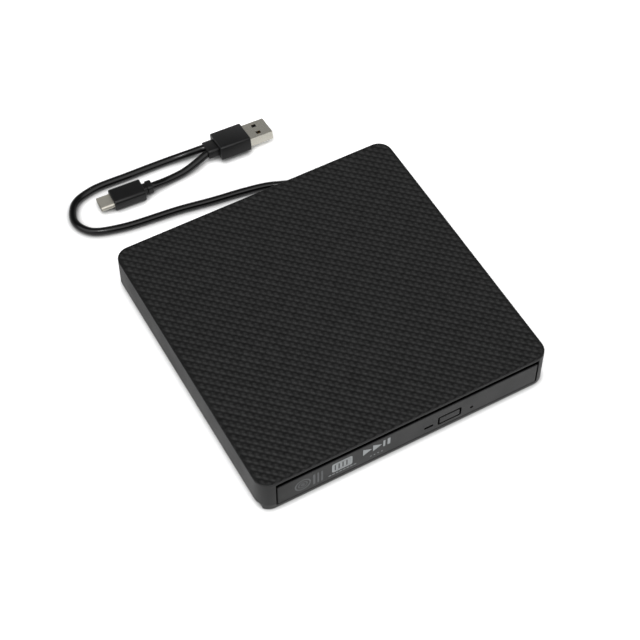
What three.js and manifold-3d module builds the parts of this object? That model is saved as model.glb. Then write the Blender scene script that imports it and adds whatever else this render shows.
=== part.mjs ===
// External slim optical drive with its USB cable, as an assembly of separate pieces.
// Millimetres. +X is right seen from the front, +Y is towards the rear, +Z is up.
// The origin is on the floor under the middle of the whole object's box, cable included.

import * as THREE from 'three';
import { mergeVertices } from 'three/addons/utils/BufferGeometryUtils.js';
import Module from 'manifold-3d';

const wasm = await Module();
wasm.setup();

// ---------------------------------------------------------------- driving dimensions

const GAP = 0.3; // running clearance between pieces that move past each other
const FIT = 0.1; // assembly clearance between pieces that stand still

// place of the enclosure's middle, which is the origin of every piece's own dimensions
const ENCLOSURE_CENTRE = [2.7, -27.6];

// enclosure
const WIDTH = 143.2;
const DEPTH = 144;
const FOOT_HEIGHT = 0.7;
const SHELL_HEIGHT = 18.4;
const CORNER_RADIUS = 6.8;
const EDGE_FILLET = 0.4;
const WALL = 1.5;
const TOP_THICKNESS = 1.1;
const FLOOR_THICKNESS = 1.4;
const SIDE_SEAM = 3.1; // height of the seam between the covers, above the bottom cover
const SIDE_STEP = 1.7; // how far the bottom cover's sides and rear stand in from the top cover's
const OPENING_X = [-64.5, 66.1];
const BOSS_X = 67.2;
const BOSS_Y = 60;
const BOSS_RADIUS = 2.3;
const SCREW_RADIUS = 0.8;
const SCREW_HEAD_RADIUS = 1.8;
const FOOT_RADIUS = 5;
const FOOT_X = 56;
const FOOT_Y = 57;
const FOOT_SINK = 0.4; // depth of the pocket that a foot is glued into

// bridge board in the rear of the enclosure
const BOARD_X = [-28, 62];
const BOARD_FRONT = 56;
const BOARD_BOTTOM = 4.2;
const BOARD_TOP = 5.2;
const BOARD_POSTS_X = [-22, 56];
const BOARD_POST_Y = 66;
const SOCKET_X = [20, 52];
const SOCKET_Y = [59.4, 65.4];
const SOCKET_TOP = 10;

// slim drive, a standard 12.7 mm high, 128 mm wide unit
const SHEET = 0.6;
const DRIVE_HALF = 64;
const DRIVE_FRONT = -69.5;
const DRIVE_REAR = 54;
const DRIVE_BOTTOM = 3.2;
const DRIVE_HEIGHT = 12.7;
const DRIVE_SPLIT = 9.2; // where the base pan's walls meet the shield's
const PAD_X = 55;
const PAD_Y = 44;
const PAD_RADIUS = 4;

// eject spring on its rod, at the rear left of the drive
const EJECTOR_X = -52;
const EJECTOR_Z = 8;
const EJECTOR_BRACKET_Y = 50;
const PUSHER_FRONT = 29.6;
const PUSHER_THICKNESS = 1.6;
const SPRING_TURNS = 8;
const SPRING_RADIUS = 1.6;
const SPRING_WIRE_RADIUS = 0.22;

// bezel and its controls
const BEZEL_X = [-63.8, 65.4];
const BEZEL_THICKNESS = 2;
const BEZEL_BOTTOM = 2.4;
const BEZEL_TOP = 15.5;
const BUTTON_X = 20.7;
const BUTTON_Z = 7.55;
const BUTTON_WIDTH = 10.2;
const BUTTON_HEIGHT = 4;
const BUTTON_GAP = 0.85;
const BUTTON_CORNER = 0.5;
const LIGHT_X = 10.2;
const LIGHT_Z = 6.6;
const LIGHT_DEPTH = 1.8; // how far the light window sits behind the bezel's face
const PINHOLE_X = 32;
const PINHOLE_Z = 6.3;
const PINHOLE_RADIUS = 0.8;

// tray
const TRAY_HALF = 62.9;
const TRAY_FRONT = -69.9;
const TRAY_REAR = 50.2;
const TRAY_UNDERSIDE = 11.2;
const TRAY_TOP = 14.6;
const TRAY_WALL_BOTTOM = 5.2;
const TRAY_FRONT_WALL = [-68, -66.8];
const SWITCH_BOARD_X = [5, 34];
const SPINDLE_Y = -7;
const DISC_RECESS_RADIUS = 60.4;
const DISC_RECESS_FLOOR = 12.6;
const SMALL_RECESS_RADIUS = 40.6;
const SMALL_RECESS_FLOOR = 12.1;
const HUB_OPENING_RADIUS = 15.6;

// telescopic rails, right-hand side; the left-hand side is its mirror image
const RAIL_FRONT = -66;
const RAIL_Z = 8.2;
const GUIDE_HALF_HEIGHT = 2.8;
const RAIL_HALF_HEIGHT = 2.1;

// traverse: its own frame has +X along the sled's travel, away from the spindle
const TRAVERSE_ANGLE = THREE.MathUtils.degToRad(225);
const DECK_BOTTOM = 10.2;
const DECK_TOP = 10.9;
const ROD_Y = 12.6;
const ROD_Z = 7.8;
const ROD_RADIUS = 1;
const ROD_X = [11, 67.6];
const LEAD_Y = 17.2;
const LEAD_Z = 7.6;
const LEAD_RADIUS = 1;
const LEAD_X = [16.8, 59.6];
const BEARING_PLAY = 0.15; // between a rod or screw and the hole it runs in
const LENS_X = 23;

// spindle
const ROTOR_RADIUS = 11;
const SHAFT_RADIUS = 1;
const FLANGE_RADIUS = 14.5;
const FLANGE_TOP = 12.7;
const HUB_RADIUS = 7.3;
const HUB_TOP = 14.9;
const CLAW_COUNT = 3;
const MOTOR_BASE_BOTTOM = 5.5;
const MOTOR_BASE_TOP = 6;
const STATOR_TEETH = 9;

// latch
const PIVOT = new THREE.Vector2(44, -52);
const STRIKE = new THREE.Vector2(54, -46);
const LEVER_Z = [5.35, 6.4];
const PLUNGER_X = 37;

// flex cable
const FLEX_X = [18, 44];
const FLEX_THICKNESS = 0.12;
const FLEX_FOLD_Y = -16;
const FLEX_LOW = 3.86;
const FLEX_HIGH = 4.75;

// USB cable and plugs
const CABLE_RADIUS = 1.85;
const CABLE_LYING_Z = CABLE_RADIUS + 0.03; // its middle, where it lies on the floor
const CABLE_EXIT_X = 40;
const CABLE_EXIT_Z = 4.9;
const EXIT_RADIUS = CABLE_RADIUS + 1.2;
const GROMMET_BORE_RADIUS = CABLE_RADIUS + 0.2;
const A_RELIEF = { length: 5.5, halfWidth: 4.7, halfHeight: 2.6 };
const A_GRIP = { length: 16, halfWidth: 7, halfHeight: 4 };
const A_SHELL = { halfWidth: 6, halfHeight: 2.25, wall: 0.3, buried: 3, length: 12 };
const C_RELIEF = { length: 4.6, halfWidth: 2.9, halfHeight: 2.5 };
const C_GRIP = { length: 16, halfWidth: 5, halfHeight: 3.2 };
const C_SHELL = { halfWidth: 4.13, halfHeight: 1.28, wall: 0.25, buried: 3, length: 6.6 };

// places worked out from the dimensions above
const SHELL_BOTTOM = FOOT_HEIGHT;
const SHELL_TOP = SHELL_BOTTOM + SHELL_HEIGHT;
const FRONT = -DEPTH / 2;
const REAR = DEPTH / 2;
const SEAM_Z = SHELL_BOTTOM + SIDE_SEAM;
const FLOOR_TOP = SHELL_BOTTOM + FLOOR_THICKNESS;
const OPENING_TOP = SHELL_TOP - TOP_THICKNESS;
const PAN_FLOOR = DRIVE_BOTTOM + SHEET;
const DRIVE_TOP = DRIVE_BOTTOM + DRIVE_HEIGHT;
const DRIVE_INNER = DRIVE_HALF - SHEET;
const CONNECTOR_FRONT = TRAY_REAR + 0.5;

// ---------------------------------------------------------------- materials

const FINISHES = {
  shellBlack: [0x1d1e1f, 0.55, 0],
  bezelBlack: [0x262728, 0.5, 0],
  trayBlack: [0x17181a, 0.5, 0],
  rubber: [0x101010, 0.9, 0],
  cableBlack: [0x0b0b0c, 0.35, 0],
  nickel: [0xb9b6a6, 0.3, 1],
  steel: [0xa9adb0, 0.4, 1],
  darkSteel: [0x55585b, 0.45, 1],
  castMetal: [0x8b8d8f, 0.6, 1],
  copperCoil: [0xa8622e, 0.45, 1],
  boardGreen: [0x1f4a2c, 0.6, 0],
  chipBlack: [0x18181a, 0.6, 0],
  whitePlastic: [0xd9d8d2, 0.5, 0],
  flexAmber: [0xa86a2a, 0.45, 0],
  lensGlass: [0x7ea6c8, 0.05, 0],
  lightPipe: [0x3a3c3e, 0.2, 0],
};

function finish(name) {
  const [color, roughness, metalness] = FINISHES[name];
  return new THREE.MeshStandardMaterial({ color, roughness, metalness });
}

// ---------------------------------------------------------------- solids

function solid(geometry) {
  const bare = geometry.clone();
  bare.deleteAttribute('normal');
  bare.deleteAttribute('uv');
  const merged = mergeVertices(bare, 1e-5);
  return new wasm.Manifold(new wasm.Mesh({
    numProp: 3,
    vertProperties: new Float32Array(merged.attributes.position.array),
    triVerts: new Uint32Array(merged.index.array),
  }));
}

function geometryOf(body) {
  const mesh = body.getMesh();
  const geometry = new THREE.BufferGeometry();
  geometry.setAttribute('position', new THREE.BufferAttribute(new Float32Array(mesh.vertProperties), 3));
  geometry.setIndex(new THREE.BufferAttribute(new Uint32Array(mesh.triVerts), 1));
  geometry.computeVertexNormals();
  return geometry;
}

// a block between two corners, each range given low to high
function block([x0, x1], [y0, y1], [z0, z1]) {
  const geometry = new THREE.BoxGeometry(x1 - x0, y1 - y0, z1 - z0);
  geometry.translate((x0 + x1) / 2, (y0 + y1) / 2, (z0 + z1) / 2);
  return solid(geometry);
}

// an upright round bar
function post(x, y, radius, z0, z1, sides = 16) {
  const geometry = new THREE.CylinderGeometry(radius, radius, z1 - z0, sides);
  geometry.rotateX(Math.PI / 2);
  geometry.translate(x, y, (z0 + z1) / 2);
  return solid(geometry);
}

// a round bar along Y
function barY(x, z, radius, y0, y1, sides = 16) {
  const geometry = new THREE.CylinderGeometry(radius, radius, y1 - y0, sides);
  geometry.translate(x, (y0 + y1) / 2, z);
  return solid(geometry);
}

// a round bar along X
function barX(y, z, radius, x0, x1, sides = 14) {
  const geometry = new THREE.CylinderGeometry(radius, radius, x1 - x0, sides);
  geometry.rotateZ(Math.PI / 2);
  geometry.translate((x0 + x1) / 2, y, z);
  return solid(geometry);
}

// an outline in plan, extruded from z0 to z1, with an optional chamfer round both faces
function slab(outline, z0, z1, chamfer = 0) {
  const geometry = new THREE.ExtrudeGeometry(outline, {
    depth: z1 - z0 - 2 * chamfer,
    curveSegments: 5,
    bevelEnabled: chamfer > 0,
    bevelThickness: chamfer,
    bevelSize: chamfer,
    bevelOffset: -chamfer,
    bevelSegments: 1,
  });
  geometry.translate(0, 0, z0 + chamfer);
  return solid(geometry);
}

// an outline in the X-Z plane, extruded from y0 back to y1
function wallPlate(outline, y0, y1, chamfer = 0) {
  const geometry = new THREE.ExtrudeGeometry(outline, {
    depth: y1 - y0 - 2 * chamfer,
    curveSegments: 3,
    bevelEnabled: chamfer > 0,
    bevelThickness: chamfer,
    bevelSize: chamfer,
    bevelOffset: -chamfer,
    bevelSegments: 1,
  });
  geometry.translate(0, 0, -(y1 - chamfer));
  geometry.rotateX(Math.PI / 2);
  return solid(geometry);
}

function turned(profile, sides = 32) {
  const points = profile.map(([r, z]) => new THREE.Vector2(r, z));
  const geometry = new THREE.LatheGeometry(points, sides);
  geometry.rotateX(Math.PI / 2);
  return solid(geometry);
}

// rectangle with round corners; rearRadius sets the two corners at high y
function roundRect([x0, x1], [y0, y1], radius, rearRadius = radius) {
  const shape = new THREE.Shape();
  shape.moveTo(x0 + radius, y0);
  shape.lineTo(x1 - radius, y0);
  shape.absarc(x1 - radius, y0 + radius, radius, -Math.PI / 2, 0);
  shape.lineTo(x1, y1 - rearRadius);
  shape.absarc(x1 - rearRadius, y1 - rearRadius, rearRadius, 0, Math.PI / 2);
  shape.lineTo(x0 + rearRadius, y1);
  shape.absarc(x0 + rearRadius, y1 - rearRadius, rearRadius, Math.PI / 2, Math.PI);
  shape.lineTo(x0, y0 + radius);
  shape.absarc(x0 + radius, y0 + radius, radius, Math.PI, 1.5 * Math.PI);
  return shape;
}

function polygon(corners) {
  return new THREE.Shape(corners.map(([x, y]) => new THREE.Vector2(x, y)));
}

function sweep(points, radius, steps, sides) {
  const outline = new THREE.Shape();
  outline.absarc(0, 0, radius, 0, 2 * Math.PI);
  const ring = new THREE.Shape(outline.getPoints(sides).slice(0, sides));
  return new THREE.ExtrudeGeometry(ring, {
    steps,
    extrudePath: new THREE.CatmullRomCurve3(points),
    bevelEnabled: false,
  });
}

// the same range on the right (side 1) or mirrored to the left (side -1)
function sided(side, [a, b]) {
  return side > 0 ? [a, b] : [-b, -a];
}

function union(bodies) {
  return bodies.reduce((sum, body) => sum.add(body));
}

const corners = [];
for (const sideX of [-1, 1]) {
  for (const sideY of [-1, 1]) {
    corners.push([sideX, sideY]);
  }
}

// ---------------------------------------------------------------- assembly

const assembly = new THREE.Group();
const drive = new THREE.Group();
drive.position.set(...ENCLOSURE_CENTRE, 0);
assembly.add(drive);
const traverse = new THREE.Group();
traverse.position.set(0, SPINDLE_Y, 0);
traverse.rotation.z = TRAVERSE_ANGLE;
drive.add(traverse);

function add(name, shape, finishName, parent = drive) {
  const geometry = shape.isBufferGeometry ? shape : geometryOf(shape);
  const mesh = new THREE.Mesh(geometry, finish(finishName));
  mesh.name = name;
  parent.add(mesh);
  return mesh;
}

// ---------------------------------------------------------------- enclosure

function topCover() {
  const halfX = WIDTH / 2;
  const belowSeam = SHELL_BOTTOM - 2;
  const outline = roundRect([-halfX, halfX], [FRONT, REAR], CORNER_RADIUS);
  const inside = roundRect([WALL - halfX, halfX - WALL], [FRONT + WALL, REAR - WALL], CORNER_RADIUS - WALL);
  let cover = slab(outline, belowSeam, SHELL_TOP, EDGE_FILLET)
    .subtract(slab(inside, belowSeam - 1, SHELL_TOP - TOP_THICKNESS))
    .subtract(block([-halfX - 1, halfX + 1], [FRONT - 1, REAR + 1], [belowSeam - 1, SEAM_Z]))
    .subtract(block(OPENING_X, [FRONT - 1, FRONT + 2 * WALL], [belowSeam, OPENING_TOP]));
  const bossBottom = SEAM_Z + 1.1;
  for (const [sideX, sideY] of corners) {
    const x = sideX * BOSS_X;
    const y = sideY * BOSS_Y;
    cover = cover.add(post(x, y, BOSS_RADIUS, bossBottom, SHELL_TOP - TOP_THICKNESS / 2, 16));
    cover = cover.subtract(post(x, y, SCREW_RADIUS + FIT, bossBottom - 1, bossBottom + 6, 12));
  }
  const exitX = [CABLE_EXIT_X - EXIT_RADIUS, CABLE_EXIT_X + EXIT_RADIUS];
  return cover
    .subtract(barY(CABLE_EXIT_X, CABLE_EXIT_Z, EXIT_RADIUS, REAR - 2 * WALL, REAR + 1))
    .subtract(block(exitX, [REAR - 2 * WALL, REAR + 1], [0, CABLE_EXIT_Z]));
}

function bottomCover() {
  const halfX = WIDTH / 2;
  const lipX = halfX - SIDE_STEP;
  const lipRear = REAR - SIDE_STEP;
  const lipWidth = 1.4;
  const innerX = lipX - lipWidth;
  const seam = SEAM_Z - FIT;
  const lipTop = SEAM_Z + 1;
  const lipRadius = CORNER_RADIUS - SIDE_STEP;
  const outline = slab(roundRect([-halfX, halfX], [FRONT, REAR], CORNER_RADIUS), SHELL_BOTTOM, seam);
  const stepped = slab(roundRect([-lipX, lipX], [FRONT - 1, lipRear], 0.5, lipRadius), 0, seam + 1);
  const outer = outline.intersect(stepped);
  const lip = slab(roundRect([-lipX, lipX], [FRONT + SIDE_STEP, lipRear], lipRadius), FLOOR_TOP, lipTop);
  const pocketY = [FRONT + 2 * SIDE_STEP, lipRear - lipWidth];
  const pocketOutline = roundRect([-innerX, innerX], pocketY, lipRadius - lipWidth);
  let cover = outer.add(lip)
    .subtract(slab(pocketOutline, FLOOR_TOP, lipTop + 1))
    .subtract(block(OPENING_X, [FRONT - 1, FRONT + 4], [FLOOR_TOP, lipTop + 1]));
  for (const [sideX, sideY] of corners) {
    const x = sideX * BOSS_X;
    const y = sideY * BOSS_Y;
    const padX = sideX * PAD_X;
    const padY = sideY * PAD_Y;
    cover = cover.add(post(x, y, BOSS_RADIUS, SHELL_BOTTOM + 1, lipTop, 16));
    cover = cover.subtract(post(x, y, SCREW_RADIUS + GAP, 0, lipTop + 1, 12));
    cover = cover.subtract(post(x, y, SCREW_HEAD_RADIUS + GAP, 0, SHELL_BOTTOM + 1.2, 16));
    const footX = sideX * FOOT_X;
    const footY = sideY * FOOT_Y;
    cover = cover.subtract(post(footX, footY, FOOT_RADIUS + FIT, 0, SHELL_BOTTOM + FOOT_SINK));
    cover = cover.add(post(padX, padY, PAD_RADIUS, FLOOR_TOP - 0.1, DRIVE_BOTTOM - 0.05, 12));
  }
  for (const x of BOARD_POSTS_X) {
    cover = cover.add(post(x, BOARD_POST_Y, 2.2, FLOOR_TOP - 0.1, BOARD_BOTTOM - 0.05, 16));
  }
  return cover.subtract(barY(CABLE_EXIT_X, CABLE_EXIT_Z, EXIT_RADIUS, lipRear - 3, REAR + 1));
}

function caseScrew(x, y) {
  const headTop = SHELL_BOTTOM + 1.15;
  const slotWidth = 0.35;
  return post(x, y, SCREW_HEAD_RADIUS, SHELL_BOTTOM + 0.3, headTop, 20)
    .add(post(x, y, SCREW_RADIUS, headTop - 0.1, SEAM_Z + 6, 12))
    .subtract(block([x - 1.2, x + 1.2], [y - slotWidth / 2, y + slotWidth / 2], [0, SHELL_BOTTOM + 0.7]))
    .subtract(block([x - slotWidth / 2, x + slotWidth / 2], [y - 1.2, y + 1.2], [0, SHELL_BOTTOM + 0.7]));
}

function rubberFoot(x, y) {
  const profile = [
    [0, 0],
    [FOOT_RADIUS - 0.5, 0],
    [FOOT_RADIUS - 0.1, 0.3],
    [FOOT_RADIUS, FOOT_HEIGHT],
    [FOOT_RADIUS, FOOT_HEIGHT + FOOT_SINK - 0.05],
    [0, FOOT_HEIGHT + FOOT_SINK - 0.05],
  ];
  return turned(profile, 20).translate([x, y, 0]);
}

add('top_cover', topCover(), 'shellBlack');
add('bottom_cover', bottomCover(), 'shellBlack');
corners.forEach(([sideX, sideY], index) => {
  const place = `${sideY < 0 ? 'front' : 'rear'}_${sideX < 0 ? 'left' : 'right'}`;
  add(`foot_${place}`, rubberFoot(sideX * FOOT_X, sideY * FOOT_Y), 'rubber');
  add(`case_screw_${index + 1}`, caseScrew(sideX * BOSS_X, sideY * BOSS_Y), 'darkSteel');
});

// ---------------------------------------------------------------- bridge board

function bridgeBoard() {
  const outline = roundRect(BOARD_X, [BOARD_FRONT, REAR - 3.5], 1);
  const cableNotch = block([CABLE_EXIT_X - 5, CABLE_EXIT_X + 5], [REAR - 6.2, REAR], [0, BOARD_TOP + 1]);
  let board = slab(outline, BOARD_BOTTOM, BOARD_TOP).subtract(cableNotch);
  for (const x of BOARD_POSTS_X) {
    board = board.subtract(post(x, BOARD_POST_Y, 1.1, BOARD_BOTTOM - 1, BOARD_TOP + 1, 16));
  }
  return board;
}

// socket with a long slot for the connector's tongue
function sataSocket() {
  const [x0, x1] = SOCKET_X;
  const [y0, y1] = SOCKET_Y;
  return block([x0, x1], [y0, y1], [BOARD_TOP + 0.05, SOCKET_TOP])
    .subtract(block([x0 + 1.5, x1 - 1.5], [y0 - 1, y0 + 4], [6.4, 8.6]));
}

// plug body through the pan's rear wall, with the tongue that enters the socket
function driveConnector() {
  const [x0, x1] = SOCKET_X;
  return block([x0, x1], [CONNECTOR_FRONT, SOCKET_Y[0] - GAP], [5.2, 9.8])
    .add(block([x0 + 2, x1 - 2], [SOCKET_Y[0] - GAP - 0.1, SOCKET_Y[0] + 3.5], [6.9, 8.1]))
    .subtract(block([x0 + 1.5, x1 - 1.5], [CONNECTOR_FRONT - 1, CONNECTOR_FRONT + 1.5], [6, 9]));
}

add('bridge_board', bridgeBoard(), 'boardGreen');
add('bridge_chip', block([-3, 6], [58.5, 67.5], [BOARD_TOP + 0.05, BOARD_TOP + 1.2]), 'chipBlack');
add('sata_socket', sataSocket(), 'chipBlack');
add('drive_connector', driveConnector(), 'chipBlack');

// ---------------------------------------------------------------- drive case

function basePan() {
  const [x0, x1] = SOCKET_X;
  const inside = [DRIVE_FRONT - 1, DRIVE_REAR - SHEET];
  return block([-DRIVE_HALF, DRIVE_HALF], [DRIVE_FRONT, DRIVE_REAR], [DRIVE_BOTTOM, DRIVE_SPLIT - 0.2])
    .subtract(block([-DRIVE_INNER, DRIVE_INNER], inside, [PAN_FLOOR, DRIVE_SPLIT]))
    .subtract(block([x0 - GAP, x1 + GAP], [DRIVE_REAR - 2, DRIVE_REAR + 1], [4.6, DRIVE_SPLIT]))
    .add(post(STRIKE.x, STRIKE.y, 1.2, PAN_FLOOR - 0.1, 5, 20))
    .add(block([EJECTOR_X - 2.5, EJECTOR_X + 2.5], [EJECTOR_BRACKET_Y, DRIVE_REAR - 0.1], [5.6, 10.6]))
    .subtract(barY(EJECTOR_X, EJECTOR_Z, 1.2, EJECTOR_BRACKET_Y - 1, EJECTOR_BRACKET_Y + 3, 16));
}

function topShield() {
  const [x0, x1] = SOCKET_X;
  const inside = [DRIVE_FRONT - 1, DRIVE_REAR - SHEET];
  const rearWall = [DRIVE_REAR - SHEET - 0.1, DRIVE_REAR + 1];
  return block([-DRIVE_HALF, DRIVE_HALF], [DRIVE_FRONT, DRIVE_REAR], [DRIVE_SPLIT, DRIVE_TOP])
    .subtract(block([-DRIVE_INNER, DRIVE_INNER], inside, [DRIVE_SPLIT - 1, DRIVE_TOP - SHEET]))
    .subtract(block([x0 - GAP, x1 + GAP], rearWall, [DRIVE_SPLIT - 1, 10.1]))
    .subtract(block([EJECTOR_X - 2.8, EJECTOR_X + 2.8], rearWall, [DRIVE_SPLIT - 1, 10.9]));
}

add('drive_base_pan', basePan(), 'steel');
add('drive_top_shield', topShield(), 'steel');

// ---------------------------------------------------------------- rails

// fixed C-section guide, open towards the tray
function railGuide(side) {
  const y = [RAIL_FRONT, 52];
  const web = block(sided(side, [62.7, 63.3]), y, [RAIL_Z - GUIDE_HALF_HEIGHT, RAIL_Z + GUIDE_HALF_HEIGHT]);
  const parts = [web];
  for (const up of [-1, 1]) {
    const flange = sided(up, [2.3, GUIDE_HALF_HEIGHT]).map((z) => RAIL_Z + z);
    const lip = sided(up, [1.6, GUIDE_HALF_HEIGHT]).map((z) => RAIL_Z + z);
    parts.push(block(sided(side, [60.95, 63]), y, flange));
    parts.push(block(sided(side, [60.95, 61.35]), y, lip));
  }
  return union(parts);
}

// I-section rail: its outer flange runs in the guide, its inner flange in the tray's groove
function slideRail(side) {
  const y = [RAIL_FRONT, TRAY_REAR - 0.2];
  const flange = [RAIL_Z - RAIL_HALF_HEIGHT, RAIL_Z + RAIL_HALF_HEIGHT];
  return union([
    block(sided(side, [61.6, 62.5]), y, flange),
    block(sided(side, [59.5, 62]), y, [RAIL_Z - 0.8, RAIL_Z + 0.8]),
    block(sided(side, [59.2, 60]), y, flange),
  ]);
}

add('left_rail_guide', railGuide(-1), 'steel');
add('right_rail_guide', railGuide(1), 'steel');
add('left_slide_rail', slideRail(-1), 'steel');
add('right_slide_rail', slideRail(1), 'steel');

// ---------------------------------------------------------------- eject spring

function ejectorPusher() {
  const back = PUSHER_FRONT + PUSHER_THICKNESS;
  return barY(EJECTOR_X, EJECTOR_Z, 2.2, PUSHER_FRONT, back, 20)
    .add(barY(EJECTOR_X, EJECTOR_Z, 0.9, back - 0.1, EJECTOR_BRACKET_Y + 2.5, 12));
}

function ejectSpring() {
  const stepsPerTurn = 7;
  const steps = SPRING_TURNS * stepsPerTurn;
  const start = PUSHER_FRONT + PUSHER_THICKNESS + 0.5;
  const length = EJECTOR_BRACKET_Y - 0.5 - start;
  const points = [];
  for (let i = 0; i <= steps; i += 1) {
    const angle = (i / stepsPerTurn) * 2 * Math.PI;
    const x = EJECTOR_X + SPRING_RADIUS * Math.cos(angle);
    const z = EJECTOR_Z + SPRING_RADIUS * Math.sin(angle);
    points.push(new THREE.Vector3(x, start + (length * i) / steps, z));
  }
  return solid(sweep(points, SPRING_WIRE_RADIUS, steps, 4));
}

add('ejector_pusher', ejectorPusher(), 'whitePlastic');
add('eject_spring', ejectSpring(), 'steel');

// ---------------------------------------------------------------- tray

// places a solid built in the traverse's own frame into the drive's frame
function fromTraverse(body) {
  const degrees = THREE.MathUtils.radToDeg(TRAVERSE_ANGLE);
  return body.rotate([0, 0, degrees]).translate([0, SPINDLE_Y, 0]);
}

function discTray() {
  const y = [TRAY_FRONT, TRAY_REAR];
  const throughout = [TRAY_FRONT - 1, TRAY_REAR + 1];
  let tray = slab(roundRect([-TRAY_HALF, TRAY_HALF], y, 1.2), TRAY_UNDERSIDE, TRAY_TOP);
  for (const side of [-1, 1]) {
    tray = tray
      .add(block(sided(side, [58.3, 60.7]), y, [TRAY_WALL_BOTTOM, TRAY_UNDERSIDE + 0.1]))
      .subtract(block(sided(side, [58.9, 60.3]), throughout, [RAIL_Z - 2.4, RAIL_Z + 2.4]))
      .subtract(block(sided(side, [60, 61]), throughout, [RAIL_Z - 1.1, RAIL_Z + 1.1]));
    tray = tray.subtract(post(side * 45, SPINDLE_Y - 43, 9, DISC_RECESS_FLOOR, TRAY_TOP + 1));
  }
  const window = slab(roundRect([10, 66], [-8, 8], 7.9), TRAY_UNDERSIDE - 1, TRAY_TOP);
  return tray
    .add(block([-58.4, 58.4], TRAY_FRONT_WALL, [TRAY_WALL_BOTTOM, TRAY_UNDERSIDE + 0.1]))
    .add(block([-56.5, -47.5], [27.8, 29.3], [5.8, TRAY_UNDERSIDE + 0.1]))
    .add(post(PIVOT.x, PIVOT.y, 1, TRAY_WALL_BOTTOM + 0.15, TRAY_UNDERSIDE + 0.1, 20))
    .subtract(post(0, SPINDLE_Y, DISC_RECESS_RADIUS, DISC_RECESS_FLOOR, TRAY_TOP + 1, 64))
    .subtract(post(0, SPINDLE_Y, SMALL_RECESS_RADIUS, SMALL_RECESS_FLOOR, TRAY_TOP + 1, 48))
    .subtract(post(0, SPINDLE_Y, HUB_OPENING_RADIUS, TRAY_UNDERSIDE - 1, TRAY_TOP + 1, 32))
    .subtract(fromTraverse(window))
    .subtract(block([SWITCH_BOARD_X[0] + 1, SWITCH_BOARD_X[1] - 1], [-69, -66], [5.9, 10.4]));
}

function frontBezel() {
  const outline = roundRect(BEZEL_X, [BEZEL_BOTTOM, BEZEL_TOP], 0.6);
  const buttonHole = roundRect(
    [BUTTON_X - BUTTON_WIDTH / 2 - BUTTON_GAP, BUTTON_X + BUTTON_WIDTH / 2 + BUTTON_GAP],
    [BUTTON_Z - BUTTON_HEIGHT / 2 - BUTTON_GAP, BUTTON_Z + BUTTON_HEIGHT / 2 + BUTTON_GAP],
    BUTTON_CORNER + 0.3,
  );
  const lightHole = roundRect([LIGHT_X - 2.25, LIGHT_X + 2.25], [LIGHT_Z - 0.7, LIGHT_Z + 0.7], 0.5);
  return wallPlate(outline, FRONT, FRONT + BEZEL_THICKNESS, 0.25)
    .subtract(wallPlate(buttonHole, FRONT - 1, FRONT + BEZEL_THICKNESS + 1))
    .subtract(wallPlate(lightHole, FRONT - 1, FRONT + BEZEL_THICKNESS + 1))
    .subtract(barY(PINHOLE_X, PINHOLE_Z, PINHOLE_RADIUS, FRONT - 1, FRONT + BEZEL_THICKNESS + 1, 16));
}

// cap in the bezel's hole, with a flange behind the bezel that keeps it from falling out
function ejectButton() {
  const halfX = BUTTON_WIDTH / 2;
  const halfZ = BUTTON_HEIGHT / 2;
  const cap = roundRect([BUTTON_X - halfX, BUTTON_X + halfX], [BUTTON_Z - halfZ, BUTTON_Z + halfZ], BUTTON_CORNER);
  const back = FRONT + BEZEL_THICKNESS;
  return wallPlate(cap, FRONT - 0.1, back + 0.5, 0.2)
    .add(block([BUTTON_X - halfX - 0.9, BUTTON_X + halfX + 0.9], [back + 0.15, back + 0.7], [4.5, 11]));
}

function lightPipe() {
  const outline = roundRect([LIGHT_X - 2.1, LIGHT_X + 2.1], [LIGHT_Z - 0.55, LIGHT_Z + 0.55], 0.35);
  return wallPlate(outline, FRONT + LIGHT_DEPTH, -66.9);
}

// small upright board behind the front wall, with the push switch standing on it
function switchBoard() {
  const wallBack = TRAY_FRONT_WALL[1];
  return block(SWITCH_BOARD_X, [wallBack + 0.15, wallBack + 0.95], [5.5, 10.8])
    .add(block([BUTTON_X - 3, BUTTON_X + 3], [wallBack - 1, wallBack + 0.2], [6.2, 9.3]))
    .add(barY(BUTTON_X, BUTTON_Z, 1.2, wallBack - 1.45, wallBack - 0.9, 16));
}

function underCover() {
  return block([-58, 58], [TRAY_FRONT_WALL[0], 50], [4.9, 5.1])
    .subtract(block([STRIKE.x - 1.6, STRIKE.x + 1.6], [STRIKE.y - 2, 51], [4, 6]));
}

// board hung under the rear of the tray, its chips facing down
function controllerBoard() {
  return block([-44, 50], [24, 48], [9.5, 10.3])
    .add(block([-20, -6], [29, 43], [8.2, 9.6]))
    .add(block([8, 17], [31, 40], [8.4, 9.6]))
    .add(block([FLEX_X[0] + 2, FLEX_X[1] - 2], [43, 47], [8, 9.6]));
}

add('disc_tray', discTray(), 'trayBlack');
add('front_bezel', frontBezel(), 'bezelBlack');
add('eject_button', ejectButton(), 'bezelBlack');
add('status_light_pipe', lightPipe(), 'lightPipe');
add('eject_switch_board', switchBoard(), 'boardGreen');
add('tray_under_cover', underCover(), 'steel');
add('controller_board', controllerBoard(), 'boardGreen');

// ---------------------------------------------------------------- traverse

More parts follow.
